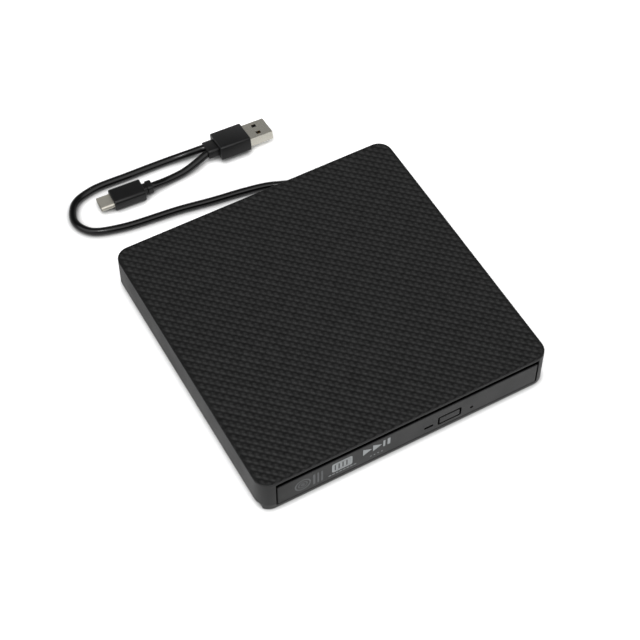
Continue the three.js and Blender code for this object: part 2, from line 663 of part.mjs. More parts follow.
function traverseDeck() {
  const halfWidth = 21;
  const outline = polygon([
    [-19, -halfWidth], [60, -halfWidth], [68.5, -12], [68.5, 12], [60, halfWidth], [-19, halfWidth],
  ]);
  let deck = slab(outline, DECK_BOTTOM, DECK_TOP)
    .subtract(slab(roundRect([8, 65], [-10.5, 10.5], 3), DECK_BOTTOM - 1, DECK_TOP + 1))
    .subtract(post(0, 0, ROTOR_RADIUS + 1.3, DECK_BOTTOM - 1, DECK_TOP + 1));
  for (const side of [-1, 1]) {
    for (const x of [ROD_X[0], ROD_X[1] - 1.6]) {
      const lugY = [side * ROD_Y - 1.2 - GAP, side * ROD_Y + 1.2 + GAP];
      deck = deck.add(block([x, x + 1.6], lugY, [ROD_Z - 1.6, DECK_BOTTOM + 0.1]));
    }
    deck = deck.subtract(barX(side * ROD_Y, ROD_Z, ROD_RADIUS + BEARING_PLAY, ROD_X[0] - 1, ROD_X[1] + 1));
  }
  return deck
    .add(block([58, 59.6], [LEAD_Y - 1.6, LEAD_Y + 1.6], [LEAD_Z - 1.6, DECK_BOTTOM + 0.1]))
    .subtract(barX(LEAD_Y, LEAD_Z, LEAD_RADIUS + BEARING_PLAY, 57, 61));
}

// stepper can with a flat mounting ear
function sledMotor() {
  return barX(LEAD_Y, LEAD_Z, 2.3, 4.5, 16.5)
    .add(block([14.9, 15.7], [LEAD_Y - 2.2, LEAD_Y + 3.5], [LEAD_Z - 1.8, DECK_BOTTOM - 0.2]));
}

function pickupSled() {
  const sledX = [13.4, 30.7];
  const nutX = [17.4, 22.4];
  let sled = block(sledX, [-14.6, 14.6], [5.6, 9.8])
    .add(block(nutX, [14.5, LEAD_Y + 2], [LEAD_Z - 1.9, LEAD_Z + 1.9]))
    .subtract(block([17, 29], [-6, 6], [8.6, 10]))
    .subtract(block([24, 32], [8, 11], [8.8, 10]))
    .subtract(barX(LEAD_Y, LEAD_Z, LEAD_RADIUS + GAP, 16, 24));
  for (const side of [-1, 1]) {
    sled = sled.subtract(barX(side * ROD_Y, ROD_Z, ROD_RADIUS + BEARING_PLAY, sledX[0] - 1, sledX[1] + 1));
  }
  return sled;
}

function lensHolder() {
  return slab(roundRect([LENS_X - 4.5, LENS_X + 4.5], [-4, 4], 1), 9.4, 11.3)
    .subtract(post(LENS_X, 0, 1.7, 9, 12));
}

function objectiveLens() {
  const dome = [[0, 11.35], [2.3, 11.35], [2.3, 11.5], [1.9, 11.8], [1.1, 11.98], [0, 12.05]];
  return turned(dome, 16).translate([LENS_X, 0, 0]);
}

add('traverse_deck', traverseDeck(), 'darkSteel', traverse);
add('guide_rod_inner', barX(ROD_Y, ROD_Z, ROD_RADIUS, ...ROD_X), 'steel', traverse);
add('guide_rod_outer', barX(-ROD_Y, ROD_Z, ROD_RADIUS, ...ROD_X), 'steel', traverse);
add('sled_motor', sledMotor(), 'steel', traverse);
add('lead_screw', barX(LEAD_Y, LEAD_Z, LEAD_RADIUS, ...LEAD_X), 'steel', traverse);
add('pickup_sled', pickupSled(), 'castMetal', traverse);
add('lens_holder', lensHolder(), 'chipBlack', traverse);
add('objective_lens', objectiveLens(), 'lensGlass', traverse);

// ---------------------------------------------------------------- spindle

// base plate with the bearing tube and the two posts that hang it from the deck
function spindleBase() {
  let base = slab(roundRect([-17, 11], [-11, 11], 3), MOTOR_BASE_BOTTOM, MOTOR_BASE_TOP)
    .add(post(0, 0, 2.6, MOTOR_BASE_TOP - 0.1, 9.9, 24));
  for (const side of [-1, 1]) {
    base = base.add(post(-14.8, side * 8, 1.6, MOTOR_BASE_TOP - 0.1, DECK_BOTTOM - 0.1, 16));
  }
  return base.subtract(post(0, 0, SHAFT_RADIUS + 0.1, 5.75, 11, 32));
}

// ring of T-shaped teeth: each corner is a radius and a share of the tooth's pitch from its middle
function statorCore() {
  const corners = [
    [5, -0.22], [8.4, -0.12], [8.6, -0.4], [9.6, -0.38], [9.6, 0.38], [8.6, 0.4], [8.4, 0.12], [5, 0.22],
  ];
  const outline = [];
  for (let tooth = 0; tooth < STATOR_TEETH; tooth += 1) {
    for (const [radius, share] of corners) {
      const angle = ((tooth + share) / STATOR_TEETH) * 2 * Math.PI;
      outline.push([radius * Math.cos(angle), radius * Math.sin(angle)]);
    }
  }
  return slab(polygon(outline), 7, 9.6).subtract(post(0, 0, 2.8, 6, 11, 24));
}

function spindleRotor() {
  const can = [
    [0, 5.95], [SHAFT_RADIUS, 5.95], [SHAFT_RADIUS, 10.3],
    [ROTOR_RADIUS - 0.8, 10.3], [ROTOR_RADIUS - 0.8, 6.5], [ROTOR_RADIUS, 6.5],
    [ROTOR_RADIUS, 10.6], [ROTOR_RADIUS - 0.4, 10.9], [SHAFT_RADIUS, 10.9], [SHAFT_RADIUS, 13.1], [0, 13.1],
  ];
  return turned(can, 32);
}

function turntable() {
  const bore = SHAFT_RADIUS + 0.05;
  const profile = [
    [0, 13.3], [bore, 13.3], [bore, 11.2], [3, 11.2], [3, 11.9], [FLANGE_RADIUS - 0.3, 11.9],
    [FLANGE_RADIUS, 12.1], [FLANGE_RADIUS, FLANGE_TOP], [HUB_RADIUS, FLANGE_TOP],
    [HUB_RADIUS, HUB_TOP - 0.6], [HUB_RADIUS - 0.9, HUB_TOP], [0, HUB_TOP],
  ];
  let table = turned(profile, 32);
  for (let i = 0; i < CLAW_COUNT; i += 1) {
    const slot = block([4.5, 8], [-1, 1], [13.45, 14.25]);
    table = table.subtract(slot.rotate([0, 0, (360 / CLAW_COUNT) * i]));
  }
  return table;
}

function gripRing() {
  return turned([[11.2, FLANGE_TOP + 0.03], [14.2, FLANGE_TOP + 0.03], [14.2, 13.1], [14.1, 13.2],
    [11.3, 13.2], [11.2, 13.1], [11.2, FLANGE_TOP + 0.03]], 32);
}

function chuckClaw() {
  const outline = polygon([[5.2, -0.8], [7.5, -0.8], [7.9, -0.45], [7.9, 0.45], [7.5, 0.8], [5.2, 0.8]]);
  return slab(outline, 13.6, 14.1, 0.1);
}

add('spindle_base', spindleBase(), 'darkSteel', traverse);
add('stator_core', statorCore(), 'copperCoil', traverse);
const spindle = new THREE.Group();
spindle.position.set(0, SPINDLE_Y, 0);
drive.add(spindle);
add('spindle_rotor', spindleRotor(), 'steel', spindle);
add('turntable', turntable(), 'chipBlack', spindle);
add('grip_ring', gripRing(), 'rubber', spindle);
for (let i = 0; i < CLAW_COUNT; i += 1) {
  const claw = add(`chuck_claw_${i + 1}`, chuckClaw(), 'whitePlastic', spindle);
  claw.rotation.z = (2 * Math.PI * i) / CLAW_COUNT;
}

// ---------------------------------------------------------------- latch

// lever on the tray's pivot boss: one arm hooks behind the strike, the other meets the plunger
function latchLever() {
  const { x, y } = PIVOT;
  const hook = polygon([
    [x - 8, y + 1], [x, y - 2.4], [x + 11.5, y + 4.6], [x + 12.2, y + 9.6], [x + 8.6, y + 9.6],
    [x + 8.6, y + 7.9], [x + 10.5, y + 7.6], [x + 8, y + 4.4], [x - 1, y + 2.6], [x - 8, y + 2.6],
  ]);
  return slab(hook, ...LEVER_Z)
    .add(post(x, y, 2.3, LEVER_Z[0], LEVER_Z[1] + 1.2, 24))
    .subtract(post(x, y, 1.15, 5, 8, 24));
}

function solenoidPlunger() {
  return block([PLUNGER_X - 1, PLUNGER_X + 1], [-61, PIVOT.y - 0.2], [5.5, 7.4]);
}

function latchSolenoid() {
  return block([PLUNGER_X - 3.5, PLUNGER_X + 3.4], [-65.4, -56], [5.4, 10.4])
    .subtract(block([PLUNGER_X - 1.3, PLUNGER_X + 1.3], [-63.5, -55], [5, 7.7]));
}

add('latch_lever', latchLever(), 'whitePlastic');
add('solenoid_plunger', solenoidPlunger(), 'steel');
add('latch_solenoid', latchSolenoid(), 'copperCoil');

// ---------------------------------------------------------------- flex cable

function flexFold() {
  const middle = (FLEX_LOW + FLEX_HIGH + FLEX_THICKNESS) / 2;
  const outer = 0.36;
  const ring = barX(FLEX_FOLD_Y + outer, middle, outer, ...FLEX_X, 20)
    .subtract(barX(FLEX_FOLD_Y + outer, middle, outer - FLEX_THICKNESS, FLEX_X[0] - 1, FLEX_X[1] + 1, 20));
  return ring.subtract(block([FLEX_X[0] - 1, FLEX_X[1] + 1], [FLEX_FOLD_Y + outer, 0], [3, 6]));
}

function flexLeg(rear, z) {
  return block(FLEX_X, [FLEX_FOLD_Y, rear], [z, z + FLEX_THICKNESS]);
}

add('flex_fixed_leg', flexLeg(49, FLEX_LOW), 'flexAmber');
add('flex_fold', flexFold(), 'flexAmber');
add('flex_moving_leg', flexLeg(47, FLEX_HIGH), 'flexAmber');

// ---------------------------------------------------------------- cable

// rubber sleeve in the rear wall's notch, with a flange behind the wall
function cableGrommet() {
  const neck = CABLE_RADIUS + 1;
  const flangeRear = REAR - 3.3;
  const flangeFront = flangeRear - 1.5;
  return barY(CABLE_EXIT_X, CABLE_EXIT_Z, neck, flangeRear - FIT, REAR + 2.5)
    .add(barY(CABLE_EXIT_X, CABLE_EXIT_Z, neck + 0.9, flangeFront, flangeRear))
    .subtract(barY(CABLE_EXIT_X, CABLE_EXIT_Z, GROMMET_BORE_RADIUS, flangeFront - 1, REAR + 5))
    .subtract(block([CABLE_EXIT_X - 9, CABLE_EXIT_X + 9], [0, flangeRear], [0, FLOOR_TOP + FIT]));
}

// the main cable leaves the rear wall, runs left along the floor and loops back to the USB-A plug
const MAIN_PATH = [
  [CABLE_EXIT_X, REAR - 5.8, CABLE_EXIT_Z],
  [CABLE_EXIT_X, REAR - 2, CABLE_EXIT_Z],
  [CABLE_EXIT_X, REAR + 3, CABLE_EXIT_Z],
  [39, 77.4, 3.9],
  [34, 80.3, 2.3],
  [25, 82.8, CABLE_LYING_Z],
  [15, 86.6, CABLE_LYING_Z],
  [4, 88.8, CABLE_LYING_Z],
  [-12, 91, CABLE_LYING_Z],
  [-28, 93.7, CABLE_LYING_Z],
  [-58, 97.3, CABLE_LYING_Z],
  [-71, 102.3, CABLE_LYING_Z],
  [-75, 111, CABLE_LYING_Z],
  [-70.5, 121, CABLE_LYING_Z],
  [-60, 125, CABLE_LYING_Z],
  [-40, 124.9, CABLE_LYING_Z],
  [-19, 124.2, CABLE_LYING_Z + 0.1],
  [-8.6, 122.4, 3.4],
  [-2.4, 120.6, 5.1],
].map(([x, y, z]) => new THREE.Vector3(x, y, z));

// the pigtail leaves the USB-A plug beside the main cable and ends in the USB-C plug
const PIGTAIL_PATH = [
  [-2.6, 116.3, 4.8],
  [-8.4, 115, 3.6],
  [-16, 113.8, CABLE_LYING_Z + 0.2],
  [-25.5, 113, CABLE_LYING_Z + 0.2],
  [-33.2, 112.3, 3.2],
].map(([x, y, z]) => new THREE.Vector3(x, y, z));

add('cable_grommet', cableGrommet(), 'rubber');
add('usb_cable', solid(sweep(MAIN_PATH, CABLE_RADIUS, 56, 8)), 'cableBlack');
add('usb_c_pigtail', solid(sweep(PIGTAIL_PATH, CABLE_RADIUS, 10, 8)), 'cableBlack');

// ---------------------------------------------------------------- plugs

// plug bodies are built along +X from the origin, which is the back of the strain relief
function plugGroup(x, y, z, headingDegrees, rollDegrees) {
  const heading = new THREE.Group();
  const roll = new THREE.Group();
  heading.position.set(x, y, z);
  heading.rotation.z = THREE.MathUtils.degToRad(headingDegrees);
  roll.rotation.x = THREE.MathUtils.degToRad(rollDegrees);
  heading.add(roll);
  drive.add(heading);
  return roll;
}

function centredRect(halfWidth, halfHeight, radius) {
  return roundRect([-halfWidth, halfWidth], [-halfHeight, halfHeight], radius);
}

// an outline in the Y-Z plane, extruded from x0 to x1
function alongX(outline, x0, x1, chamfer = 0) {
  return wallPlate(outline, x0, x1, chamfer).rotate([0, 0, -90]);
}

// grip with rounded edges and a pocket for the metal shell, and the narrower strain relief behind it
function plugMoulding(relief, grip, shell) {
  const end = relief.length + grip.length;
  const gripOutline = centredRect(grip.halfWidth, grip.halfHeight, 1.4);
  const reliefOutline = centredRect(relief.halfWidth, relief.halfHeight, relief.halfHeight - 0.1);
  const pocketY = [-shell.halfWidth - FIT, shell.halfWidth + FIT];
  const pocketZ = [-shell.halfHeight - FIT, shell.halfHeight + FIT];
  return alongX(gripOutline, relief.length, end, 0.7)
    .add(alongX(reliefOutline, 0, relief.length + 1, 0.3))
    .subtract(block([end - shell.buried - FIT, end + 1], pocketY, pocketZ));
}

function usbAShell() {
  const { halfWidth, halfHeight, wall, buried, length } = A_SHELL;
  const x0 = A_RELIEF.length + A_GRIP.length - buried;
  const x1 = A_RELIEF.length + A_GRIP.length + length;
  const insideY = [wall - halfWidth, halfWidth - wall];
  const insideZ = [wall - halfHeight, halfHeight - wall];
  let shell = block([x0, x1], [-halfWidth, halfWidth], [-halfHeight, halfHeight])
    .subtract(block([x0 + wall, x1 + 1], insideY, insideZ));
  for (const side of [-1, 1]) {
    const windowY = sided(side, [1.7, 4]);
    shell = shell.subtract(block([x1 - 7.4, x1 - 5.1], windowY, [-halfHeight - 1, halfHeight + 1]));
  }
  return shell;
}

function usbATongue() {
  const { halfWidth, halfHeight, wall, buried, length } = A_SHELL;
  const x0 = A_RELIEF.length + A_GRIP.length - buried + wall + FIT;
  const x1 = A_RELIEF.length + A_GRIP.length + length - 0.6;
  const halfY = halfWidth - wall - FIT;
  return block([x0, x1], [-halfY, halfY], [wall - halfHeight + FIT, -0.2])
    .add(block([x0, x0 + buried], [-halfY, halfY], [-0.3, halfHeight - wall - FIT]));
}

const plugA = plugGroup(-1.6, 118.25, 5.25, -2.5, -10);
add('usb_a_moulding', plugMoulding(A_RELIEF, A_GRIP, A_SHELL), 'cableBlack', plugA);
add('usb_a_shell', usbAShell(), 'nickel', plugA);
add('usb_a_tongue', usbATongue(), 'whitePlastic', plugA);

function usbCOutline(inset) {
  const halfWidth = C_SHELL.halfWidth - inset;
  const halfHeight = C_SHELL.halfHeight - inset;
  return centredRect(halfWidth, halfHeight, halfHeight - 0.02);
}

function usbCShell() {
  const x0 = C_RELIEF.length + C_GRIP.length - C_SHELL.buried;
  const x1 = C_RELIEF.length + C_GRIP.length + C_SHELL.length;
  return alongX(usbCOutline(0), x0, x1)
    .subtract(alongX(usbCOutline(C_SHELL.wall), x0 + C_SHELL.wall, x1 + 1));
}

// lining of the shell, open at the front for the receptacle's tongue
function usbCInsulator() {
  const x0 = C_RELIEF.length + C_GRIP.length - C_SHELL.buried + C_SHELL.wall + FIT;
  const x1 = C_RELIEF.length + C_GRIP.length + C_SHELL.length - 0.4;
  return alongX(usbCOutline(C_SHELL.wall + 0.05), x0, x1)
    .subtract(block([x1 - 5.8, x1 + 1], [-3.35, 3.35], [-0.42, 0.42]));
}

const plugC = plugGroup(-33.8, 112.3, 3.3, 177, 0);
add('usb_c_moulding', plugMoulding(C_RELIEF, C_GRIP, C_SHELL), 'cableBlack', plugC);
add('usb_c_shell', usbCShell(), 'nickel', plugC);
add('usb_c_insulator', usbCInsulator(), 'chipBlack', plugC);

export default assembly;
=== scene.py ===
"""External slim optical drive with its USB cable: the finished look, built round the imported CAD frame.

Sizes are millimetres in the drive's own frame. Its origin is on the floor under the enclosure's middle, +X is
right seen from the front, +Y is towards the rear and +Z is up. place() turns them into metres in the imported
frame.
"""
import math

import bmesh
import bpy
import numpy as np
from mathutils import Matrix, Vector
from mathutils.geometry import delaunay_2d_cdt


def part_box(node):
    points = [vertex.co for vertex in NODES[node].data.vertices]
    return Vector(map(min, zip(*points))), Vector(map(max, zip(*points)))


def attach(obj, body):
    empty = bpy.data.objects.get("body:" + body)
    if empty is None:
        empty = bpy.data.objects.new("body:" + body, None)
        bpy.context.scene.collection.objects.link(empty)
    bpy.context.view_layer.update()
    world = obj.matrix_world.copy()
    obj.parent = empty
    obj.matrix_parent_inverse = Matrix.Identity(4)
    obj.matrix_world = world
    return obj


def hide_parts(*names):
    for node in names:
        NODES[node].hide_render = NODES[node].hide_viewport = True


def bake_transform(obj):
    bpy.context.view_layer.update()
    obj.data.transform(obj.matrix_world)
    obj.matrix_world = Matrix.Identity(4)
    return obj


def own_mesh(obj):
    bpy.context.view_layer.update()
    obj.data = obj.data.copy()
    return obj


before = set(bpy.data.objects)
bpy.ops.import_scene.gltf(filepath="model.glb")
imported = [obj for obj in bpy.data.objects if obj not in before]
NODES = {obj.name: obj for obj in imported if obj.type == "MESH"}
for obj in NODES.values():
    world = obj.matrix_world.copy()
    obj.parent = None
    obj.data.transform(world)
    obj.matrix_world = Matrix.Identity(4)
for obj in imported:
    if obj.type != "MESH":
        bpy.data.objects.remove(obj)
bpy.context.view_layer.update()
SCENE = bpy.context.scene

MM = 0.001
cover_low, cover_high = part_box("top_cover")
CENTRE = Vector(((cover_low.x + cover_high.x) / 2, (cover_low.y + cover_high.y) / 2, 0))

# ---------------------------------------------------------------- dimensions

HALF_X = (cover_high.x - cover_low.x) / 2 / MM
HALF_Y = (cover_high.y - cover_low.y) / 2 / MM
TOP = cover_high.z / MM
SEAM = cover_low.z / MM
FRONT = -HALF_Y
REAR = HALF_Y
CORNER = 6.8  # radius of the enclosure's corners in plan
FILLET = 0.4  # rounding between the walls and the top
WALL = 1.5
UNDERSIDE = TOP - 1.1
OPENING_X = (-64.5, 66.1)
CABLE_X = 40.0
CABLE_Z = 4.9
CABLE_RADIUS = 1.85
LYING = CABLE_RADIUS + 0.03  # height of the cable's middle where it lies on the floor
NOTCH = CABLE_RADIUS + 1.2  # radius of the cable's exit in the rear wall

WEAVE_CELLS = (64, 67)
WEAVE_STOPS = (0, 0.25, 0.5, 0.75)  # grid lines across one cell
WEAVE_RELIEF = 0.32
MARGIN = 0.3  # flat rim round the weave
MARGIN_RAMP = 0.5  # over which the relief rises from the rim

SPINDLE_Y = -7.0
TRAVERSE_TURN = 225  # degrees
LEAD = (17.2, 7.6, 1.0)  # y, z and radius of the lead screw in the traverse's frame
LEAD_X = (16.8, 59.6)
LEAD_PITCH = 3.0
LEAD_GROOVE = 0.22

RECESS_FLOOR = 12.6
TRAY_TOP = 14.6
HUB_TOP = 14.9
SLED_TOP = 9.8

FLEX_X = (18.0, 44.0)
FLEX_FOLD_Y = -16.0
FLEX_LOW = 3.86
FLEX_HIGH = 4.75
FLEX_THICK = 0.12
FLEX_FIXED_END = 49
FLEX_MOVING_END = 47

# the cables run from the case to the USB-A plug and on to the USB-C plug, and end inside the plugs
MAIN_PATH = [
    (CABLE_X, REAR - 5.8, CABLE_Z), (CABLE_X, REAR - 2, CABLE_Z), (CABLE_X, REAR + 3, CABLE_Z),
    (39, 77.4, 3.9), (34, 80.3, 2.3), (25, 82.8, LYING), (15, 86.6, LYING), (4, 88.8, LYING),
    (-12, 91, LYING), (-28, 93.7, LYING), (-58, 97.3, LYING), (-71, 102.3, LYING), (-75, 111, LYING),
    (-70.5, 121, LYING), (-60, 125, LYING), (-40, 124.9, LYING), (-19, 124.2, LYING + 0.1),
    (-8.6, 122.4, 3.4), (-2.4, 120.6, 5.1), (2.3, 119.8, 5.35),
]
PIGTAIL_PATH = [
    (2.3, 116.7, 5.1), (-2.6, 116.3, 4.8), (-8.4, 115, 3.6), (-16, 113.8, LYING + 0.2),
    (-25.5, 113, LYING + 0.2), (-33.2, 112.3, 3.2), (-37.6, 112.4, 3.3),
]


def turn(angle, axis="Z"):
    return Matrix.Rotation(math.radians(angle), 4, axis)


# each plug lies along its own +X, from the cable's end
PLUG_A = Matrix.Translation((-1.6, 118.25, 5.25)) @ turn(-2.5) @ turn(-10, "X")
PLUG_C = Matrix.Translation((-33.8, 112.3, 3.3)) @ turn(177)


def place(points):
    """From millimetres in the drive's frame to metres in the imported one."""
    return np.asarray(points, float) * MM + np.array(CENTRE)


# ---------------------------------------------------------------- materials

def surface(name, colour, roughness, metallic=0.0, grain=0.3, bump=0.1, stretch=(1, 1, 1), mottle=0.12,
            patch=9.0, ior=1.5, coat=0.0):
    """Procedural finish: fine grain (mm) in the bump and colour, broad patches (mm) in the roughness."""
    made = bpy.data.materials.new(name)
    made.use_nodes = True
    nodes, links = made.node_tree.nodes, made.node_tree.links
    shader = nodes["Principled BSDF"]
    settings = {"Metallic": metallic, "IOR": ior, "Coat Weight": coat, "Coat Roughness": 0.12}
    for socket, value in settings.items():
        shader.inputs[socket].default_value = value
    coords = nodes.new("ShaderNodeTexCoord")
    scaled = nodes.new("ShaderNodeMapping")
    scaled.inputs["Scale"].default_value = stretch
    links.new(coords.outputs["Object"], scaled.inputs["Vector"])

    def noise(size, detail):
        node = nodes.new("ShaderNodeTexNoise")
        node.inputs["Scale"].default_value = 1 / (size * MM)
        node.inputs["Detail"].default_value = detail
        links.new(scaled.outputs["Vector"], node.inputs["Vector"])
        return node.outputs["Fac"]

    fine = noise(grain, 3)
    broad = noise(patch, 4)
    bumps = nodes.new("ShaderNodeBump")
    bumps.inputs["Strength"].default_value = bump
    bumps.inputs["Distance"].default_value = grain * MM
    links.new(fine, bumps.inputs["Height"])
    links.new(bumps.outputs["Normal"], shader.inputs["Normal"])

    def spread(source, low, high):
        node = nodes.new("ShaderNodeMapRange")
        for socket, value in (("From Min", 0.3), ("From Max", 0.7), ("To Min", low), ("To Max", high)):
            node.inputs[socket].default_value = value
        links.new(source, node.inputs["Value"])
        return node.outputs["Result"]

    links.new(spread(broad, roughness * (1 - mottle), roughness * (1 + mottle)), shader.inputs["Roughness"])
    shade = nodes.new("ShaderNodeMix")
    shade.data_type = "RGBA"
    shade.inputs["A"].default_value = (*(c * (1 - mottle) for c in colour), 1)
    shade.inputs["B"].default_value = (*(min(1, c * (1 + mottle)) for c in colour), 1)
    links.new(spread(fine, 0, 1), shade.inputs["Factor"])
    links.new(shade.outputs["Result"], shader.inputs["Base Color"])
    return made


def shaded(finish, source, from_range, to_range):
    """Paints light and shade into a finish: multiplies its colour and shine by a value mapped from the
    source's.
    """
    nodes, links = finish.node_tree.nodes, finish.node_tree.links
    shader = nodes["Principled BSDF"]
    factor = nodes.new("ShaderNodeMapRange")
    for socket, value in zip(("From Min", "From Max", "To Min", "To Max"), (*from_range, *to_range)):
        factor.inputs[socket].default_value = value
    links.new(source(nodes, links), factor.inputs["Value"])
    colour = nodes.new("ShaderNodeVectorMath")
    colour.operation = "SCALE"
    links.new(shader.inputs["Base Color"].links[0].from_socket, colour.inputs[0])
    links.new(factor.outputs["Result"], colour.inputs["Scale"])
    links.new(colour.outputs["Vector"], shader.inputs["Base Color"])
    shine = nodes.new("ShaderNodeMath")
    shine.operation = "MULTIPLY"
    shine.inputs[1].default_value = 0.5
    level = shader.inputs["Specular IOR Level"]
    if level.is_linked:
        links.new(level.links[0].from_socket, shine.inputs[1])
    links.new(factor.outputs["Result"], shine.inputs[0])
    links.new(shine.outputs["Value"], level)


def placed(axis, *values):
    """Positions along one axis of the drive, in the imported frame's metres."""
    return [value * MM + CENTRE[axis] for value in values]


def facing_front(nodes, links):
    """How far a surface faces the front: holes and rims behind a front face turn away from it."""
    geometry = nodes.new("ShaderNodeNewGeometry")
    towards = nodes.new("ShaderNodeVectorMath")
    towards.operation = "DOT_PRODUCT"
    towards.inputs[1].default_value = (0, -1, 0)
    links.new(geometry.outputs["Normal"], towards.inputs[0])
    return towards.outputs["Value"]


def along(axis):
    """Source of the position along X, Y or Z, in metres."""
    def source(nodes, links):
        coords = nodes.new("ShaderNodeTexCoord")
        split = nodes.new("ShaderNodeSeparateXYZ")
        links.new(coords.outputs["Object"], split.inputs["Vector"])
        return split.outputs[axis]

    return source


SHELL = surface("shell_black", (0.008, 0.0081, 0.0082), 0.46, grain=0.16, bump=0.22, mottle=0.1, patch=14,
                ior=1.41)
# painted light and shade: lighter at the front and darker towards the rear
shaded(SHELL, along("Y"), placed(1, FRONT, 20), (1.1, 0.71))
# painted shade: faces turned to the front, such as the lip above the bezel, are painted darker
shaded(SHELL, facing_front, (0.3, 0.9), (1.0, 0.75))
# painted light: the shell's black plastic, painted a little lighter for the bottom cover and left without the
# shell's painted shade
BASE = surface("base_black", (0.0112, 0.0113, 0.0114), 0.46, grain=0.16, bump=0.22, mottle=0.1, patch=14,
               ior=1.46)
WOVEN = surface("woven_black", (0.01, 0.0101, 0.0101), 0.42, grain=0.22, bump=0.2, mottle=0.25, patch=3,
                ior=1.42)
# painted shade and highlight: darker low between the strands, lighter on their crests
shaded(WOVEN, along("Z"), placed(2, TOP, TOP + WEAVE_RELIEF), (0.48, 1.95))
BUTTON = surface("button_black", (0.007, 0.0071, 0.0072), 0.44, grain=0.14, bump=0.2, mottle=0.1, patch=14,
                 ior=1.42)
# painted shade: faces turned away from the front, in the gap round the button, are painted dark
shaded(BUTTON, facing_front, (0.35, 0.8), (0.12, 1.0))
BEZEL = surface("bezel_black", (0.0088, 0.0089, 0.009), 0.44, grain=0.14, bump=0.2, mottle=0.1, patch=14,
                ior=1.43)
# painted shade: faces turned away from the front, in its holes, on its rims and on its top under the cover's
# lip, are painted dark
shaded(BEZEL, facing_front, (0.35, 0.8), (0.12, 0.93))
# painted shade: darker towards its left end
shaded(BEZEL, along("X"), placed(0, -64, -50), (0.64, 1.0))
# painted shadow of the cover's lip: darker towards its top
shaded(BEZEL, along("Z"), placed(2, 14, 15.6), (1.0, 0.7))
TRAY = surface("tray_black", (0.014, 0.0142, 0.0148), 0.5, grain=0.2, bump=0.25, mottle=0.12, patch=11)
RUBBER = surface("rubber", (0.012, 0.012, 0.012), 0.8, grain=0.3, bump=0.4, mottle=0.2)
CABLE = surface("cable_pvc", (0.002, 0.002, 0.0021), 0.12, grain=0.5, bump=0.04, mottle=0.15, patch=5,
                ior=1.38)
MOULDING = surface("plug_moulding", (0.0045, 0.0045, 0.0047), 0.38, grain=0.18, bump=0.22, mottle=0.12,
                   patch=6, ior=1.36)
NICKEL = surface("nickel", (0.62, 0.6, 0.53), 0.24, 1.0, grain=0.12, bump=0.06, stretch=(0.3, 1, 1),
                 mottle=0.1, patch=2)
SATIN = surface("satin_nickel", (0.5, 0.48, 0.42), 0.42, 0.75, grain=0.12, bump=0.06, mottle=0.08, patch=2)
SHEET = surface("zinc_sheet", (0.52, 0.53, 0.54), 0.34, 1.0, grain=0.5, bump=0.05, stretch=(1, 0.12, 1),
                mottle=0.14, patch=6)
STEEL = surface("bright_steel", (0.58, 0.58, 0.57), 0.22, 1.0, grain=0.2, bump=0.05, stretch=(1, 0.2, 1),
                mottle=0.12, patch=3)
DARK_STEEL = surface("dark_steel", (0.1, 0.105, 0.11), 0.38, 1.0, grain=0.25, bump=0.12, mottle=0.16,
                     patch=5)
CAST = surface("cast_metal", (0.33, 0.335, 0.34), 0.5, 1.0, grain=0.35, bump=0.3, mottle=0.18, patch=4)
COPPER = surface("copper_winding", (0.55, 0.2, 0.07), 0.35, 1.0, grain=0.2, bump=0.5, stretch=(1, 1, 0.15),
                 mottle=0.2, patch=2)
BOARD = surface("board_green", (0.012, 0.06, 0.025), 0.38, grain=0.6, bump=0.12, mottle=0.3, patch=3,
                coat=0.4)
CHIP = surface("chip_black", (0.013, 0.013, 0.014), 0.5, grain=0.12, bump=0.2, mottle=0.15, patch=3)
WHITE = surface("white_plastic", (0.62, 0.61, 0.57), 0.42, grain=0.2, bump=0.1, mottle=0.06, patch=5)
FLEX = surface("flex_amber", (0.33, 0.13, 0.02), 0.3, grain=0.4, bump=0.15, stretch=(1, 0.02, 1),
               mottle=0.3, patch=6, coat=0.3)
LENS = surface("lens_glass", (0.03, 0.06, 0.16), 0.04, grain=0.5, bump=0.01, mottle=0.1, patch=2, ior=1.6,
               coat=1.0)
LIGHT_PIPE = surface("light_pipe", (0.02, 0.021, 0.022), 0.2, grain=0.3, bump=0.05, mottle=0.1, patch=3,
                     ior=1.49)
GOLD = surface("gold_contact", (0.75, 0.5, 0.18), 0.25, 1.0, grain=0.15, bump=0.05, mottle=0.1, patch=1)
PRINT_DIM = surface("print_grey", (0.075, 0.078, 0.08), 0.55, grain=0.1, bump=0.1, mottle=0.2, patch=1)
PRINT = surface("print_light", (0.27, 0.285, 0.29), 0.55, grain=0.1, bump=0.1, mottle=0.12, patch=1)


# ---------------------------------------------------------------- shapes: each is (vertices, faces) in mm

def merge(*shapes):
    vertices = []
    faces = []
    for points, polygons in shapes:
        base = len(vertices)
        vertices.extend(map(tuple, points))
        faces.extend(tuple(i + base for i in polygon) for polygon in polygons)
    return vertices, faces


def moved(shape, matrix):
    return [tuple(matrix @ Vector(p)) for p in shape[0]], shape[1]


def traverse(shape):
    """From the traverse's own frame, where +X is the pickup's travel, to the drive's."""
    return moved(shape, Matrix.Translation((0, SPINDLE_Y, 0)) @ turn(TRAVERSE_TURN))


def loft(rings, closed=False):
    """Skin over rings of equal length, capped at both ends, or joined end to end."""
    n = len(rings[0])
    count = len(rings)
    faces = []
    for k in range(count if closed else count - 1):
        a, b = k * n, (k + 1) % count * n
        faces.extend((a + i, a + (i + 1) % n, b + (i + 1) % n, b + i) for i in range(n))
    if not closed:
        faces += [tuple(range(n))[::-1], tuple(range((count - 1) * n, count * n))]
    return [p for ring in rings for p in ring], faces


def circle(radius, sides, cx=0.0, cy=0.0):
    return [(cx + radius * math.cos(2 * math.pi * i / sides), cy + radius * math.sin(2 * math.pi * i / sides))
            for i in range(sides)]


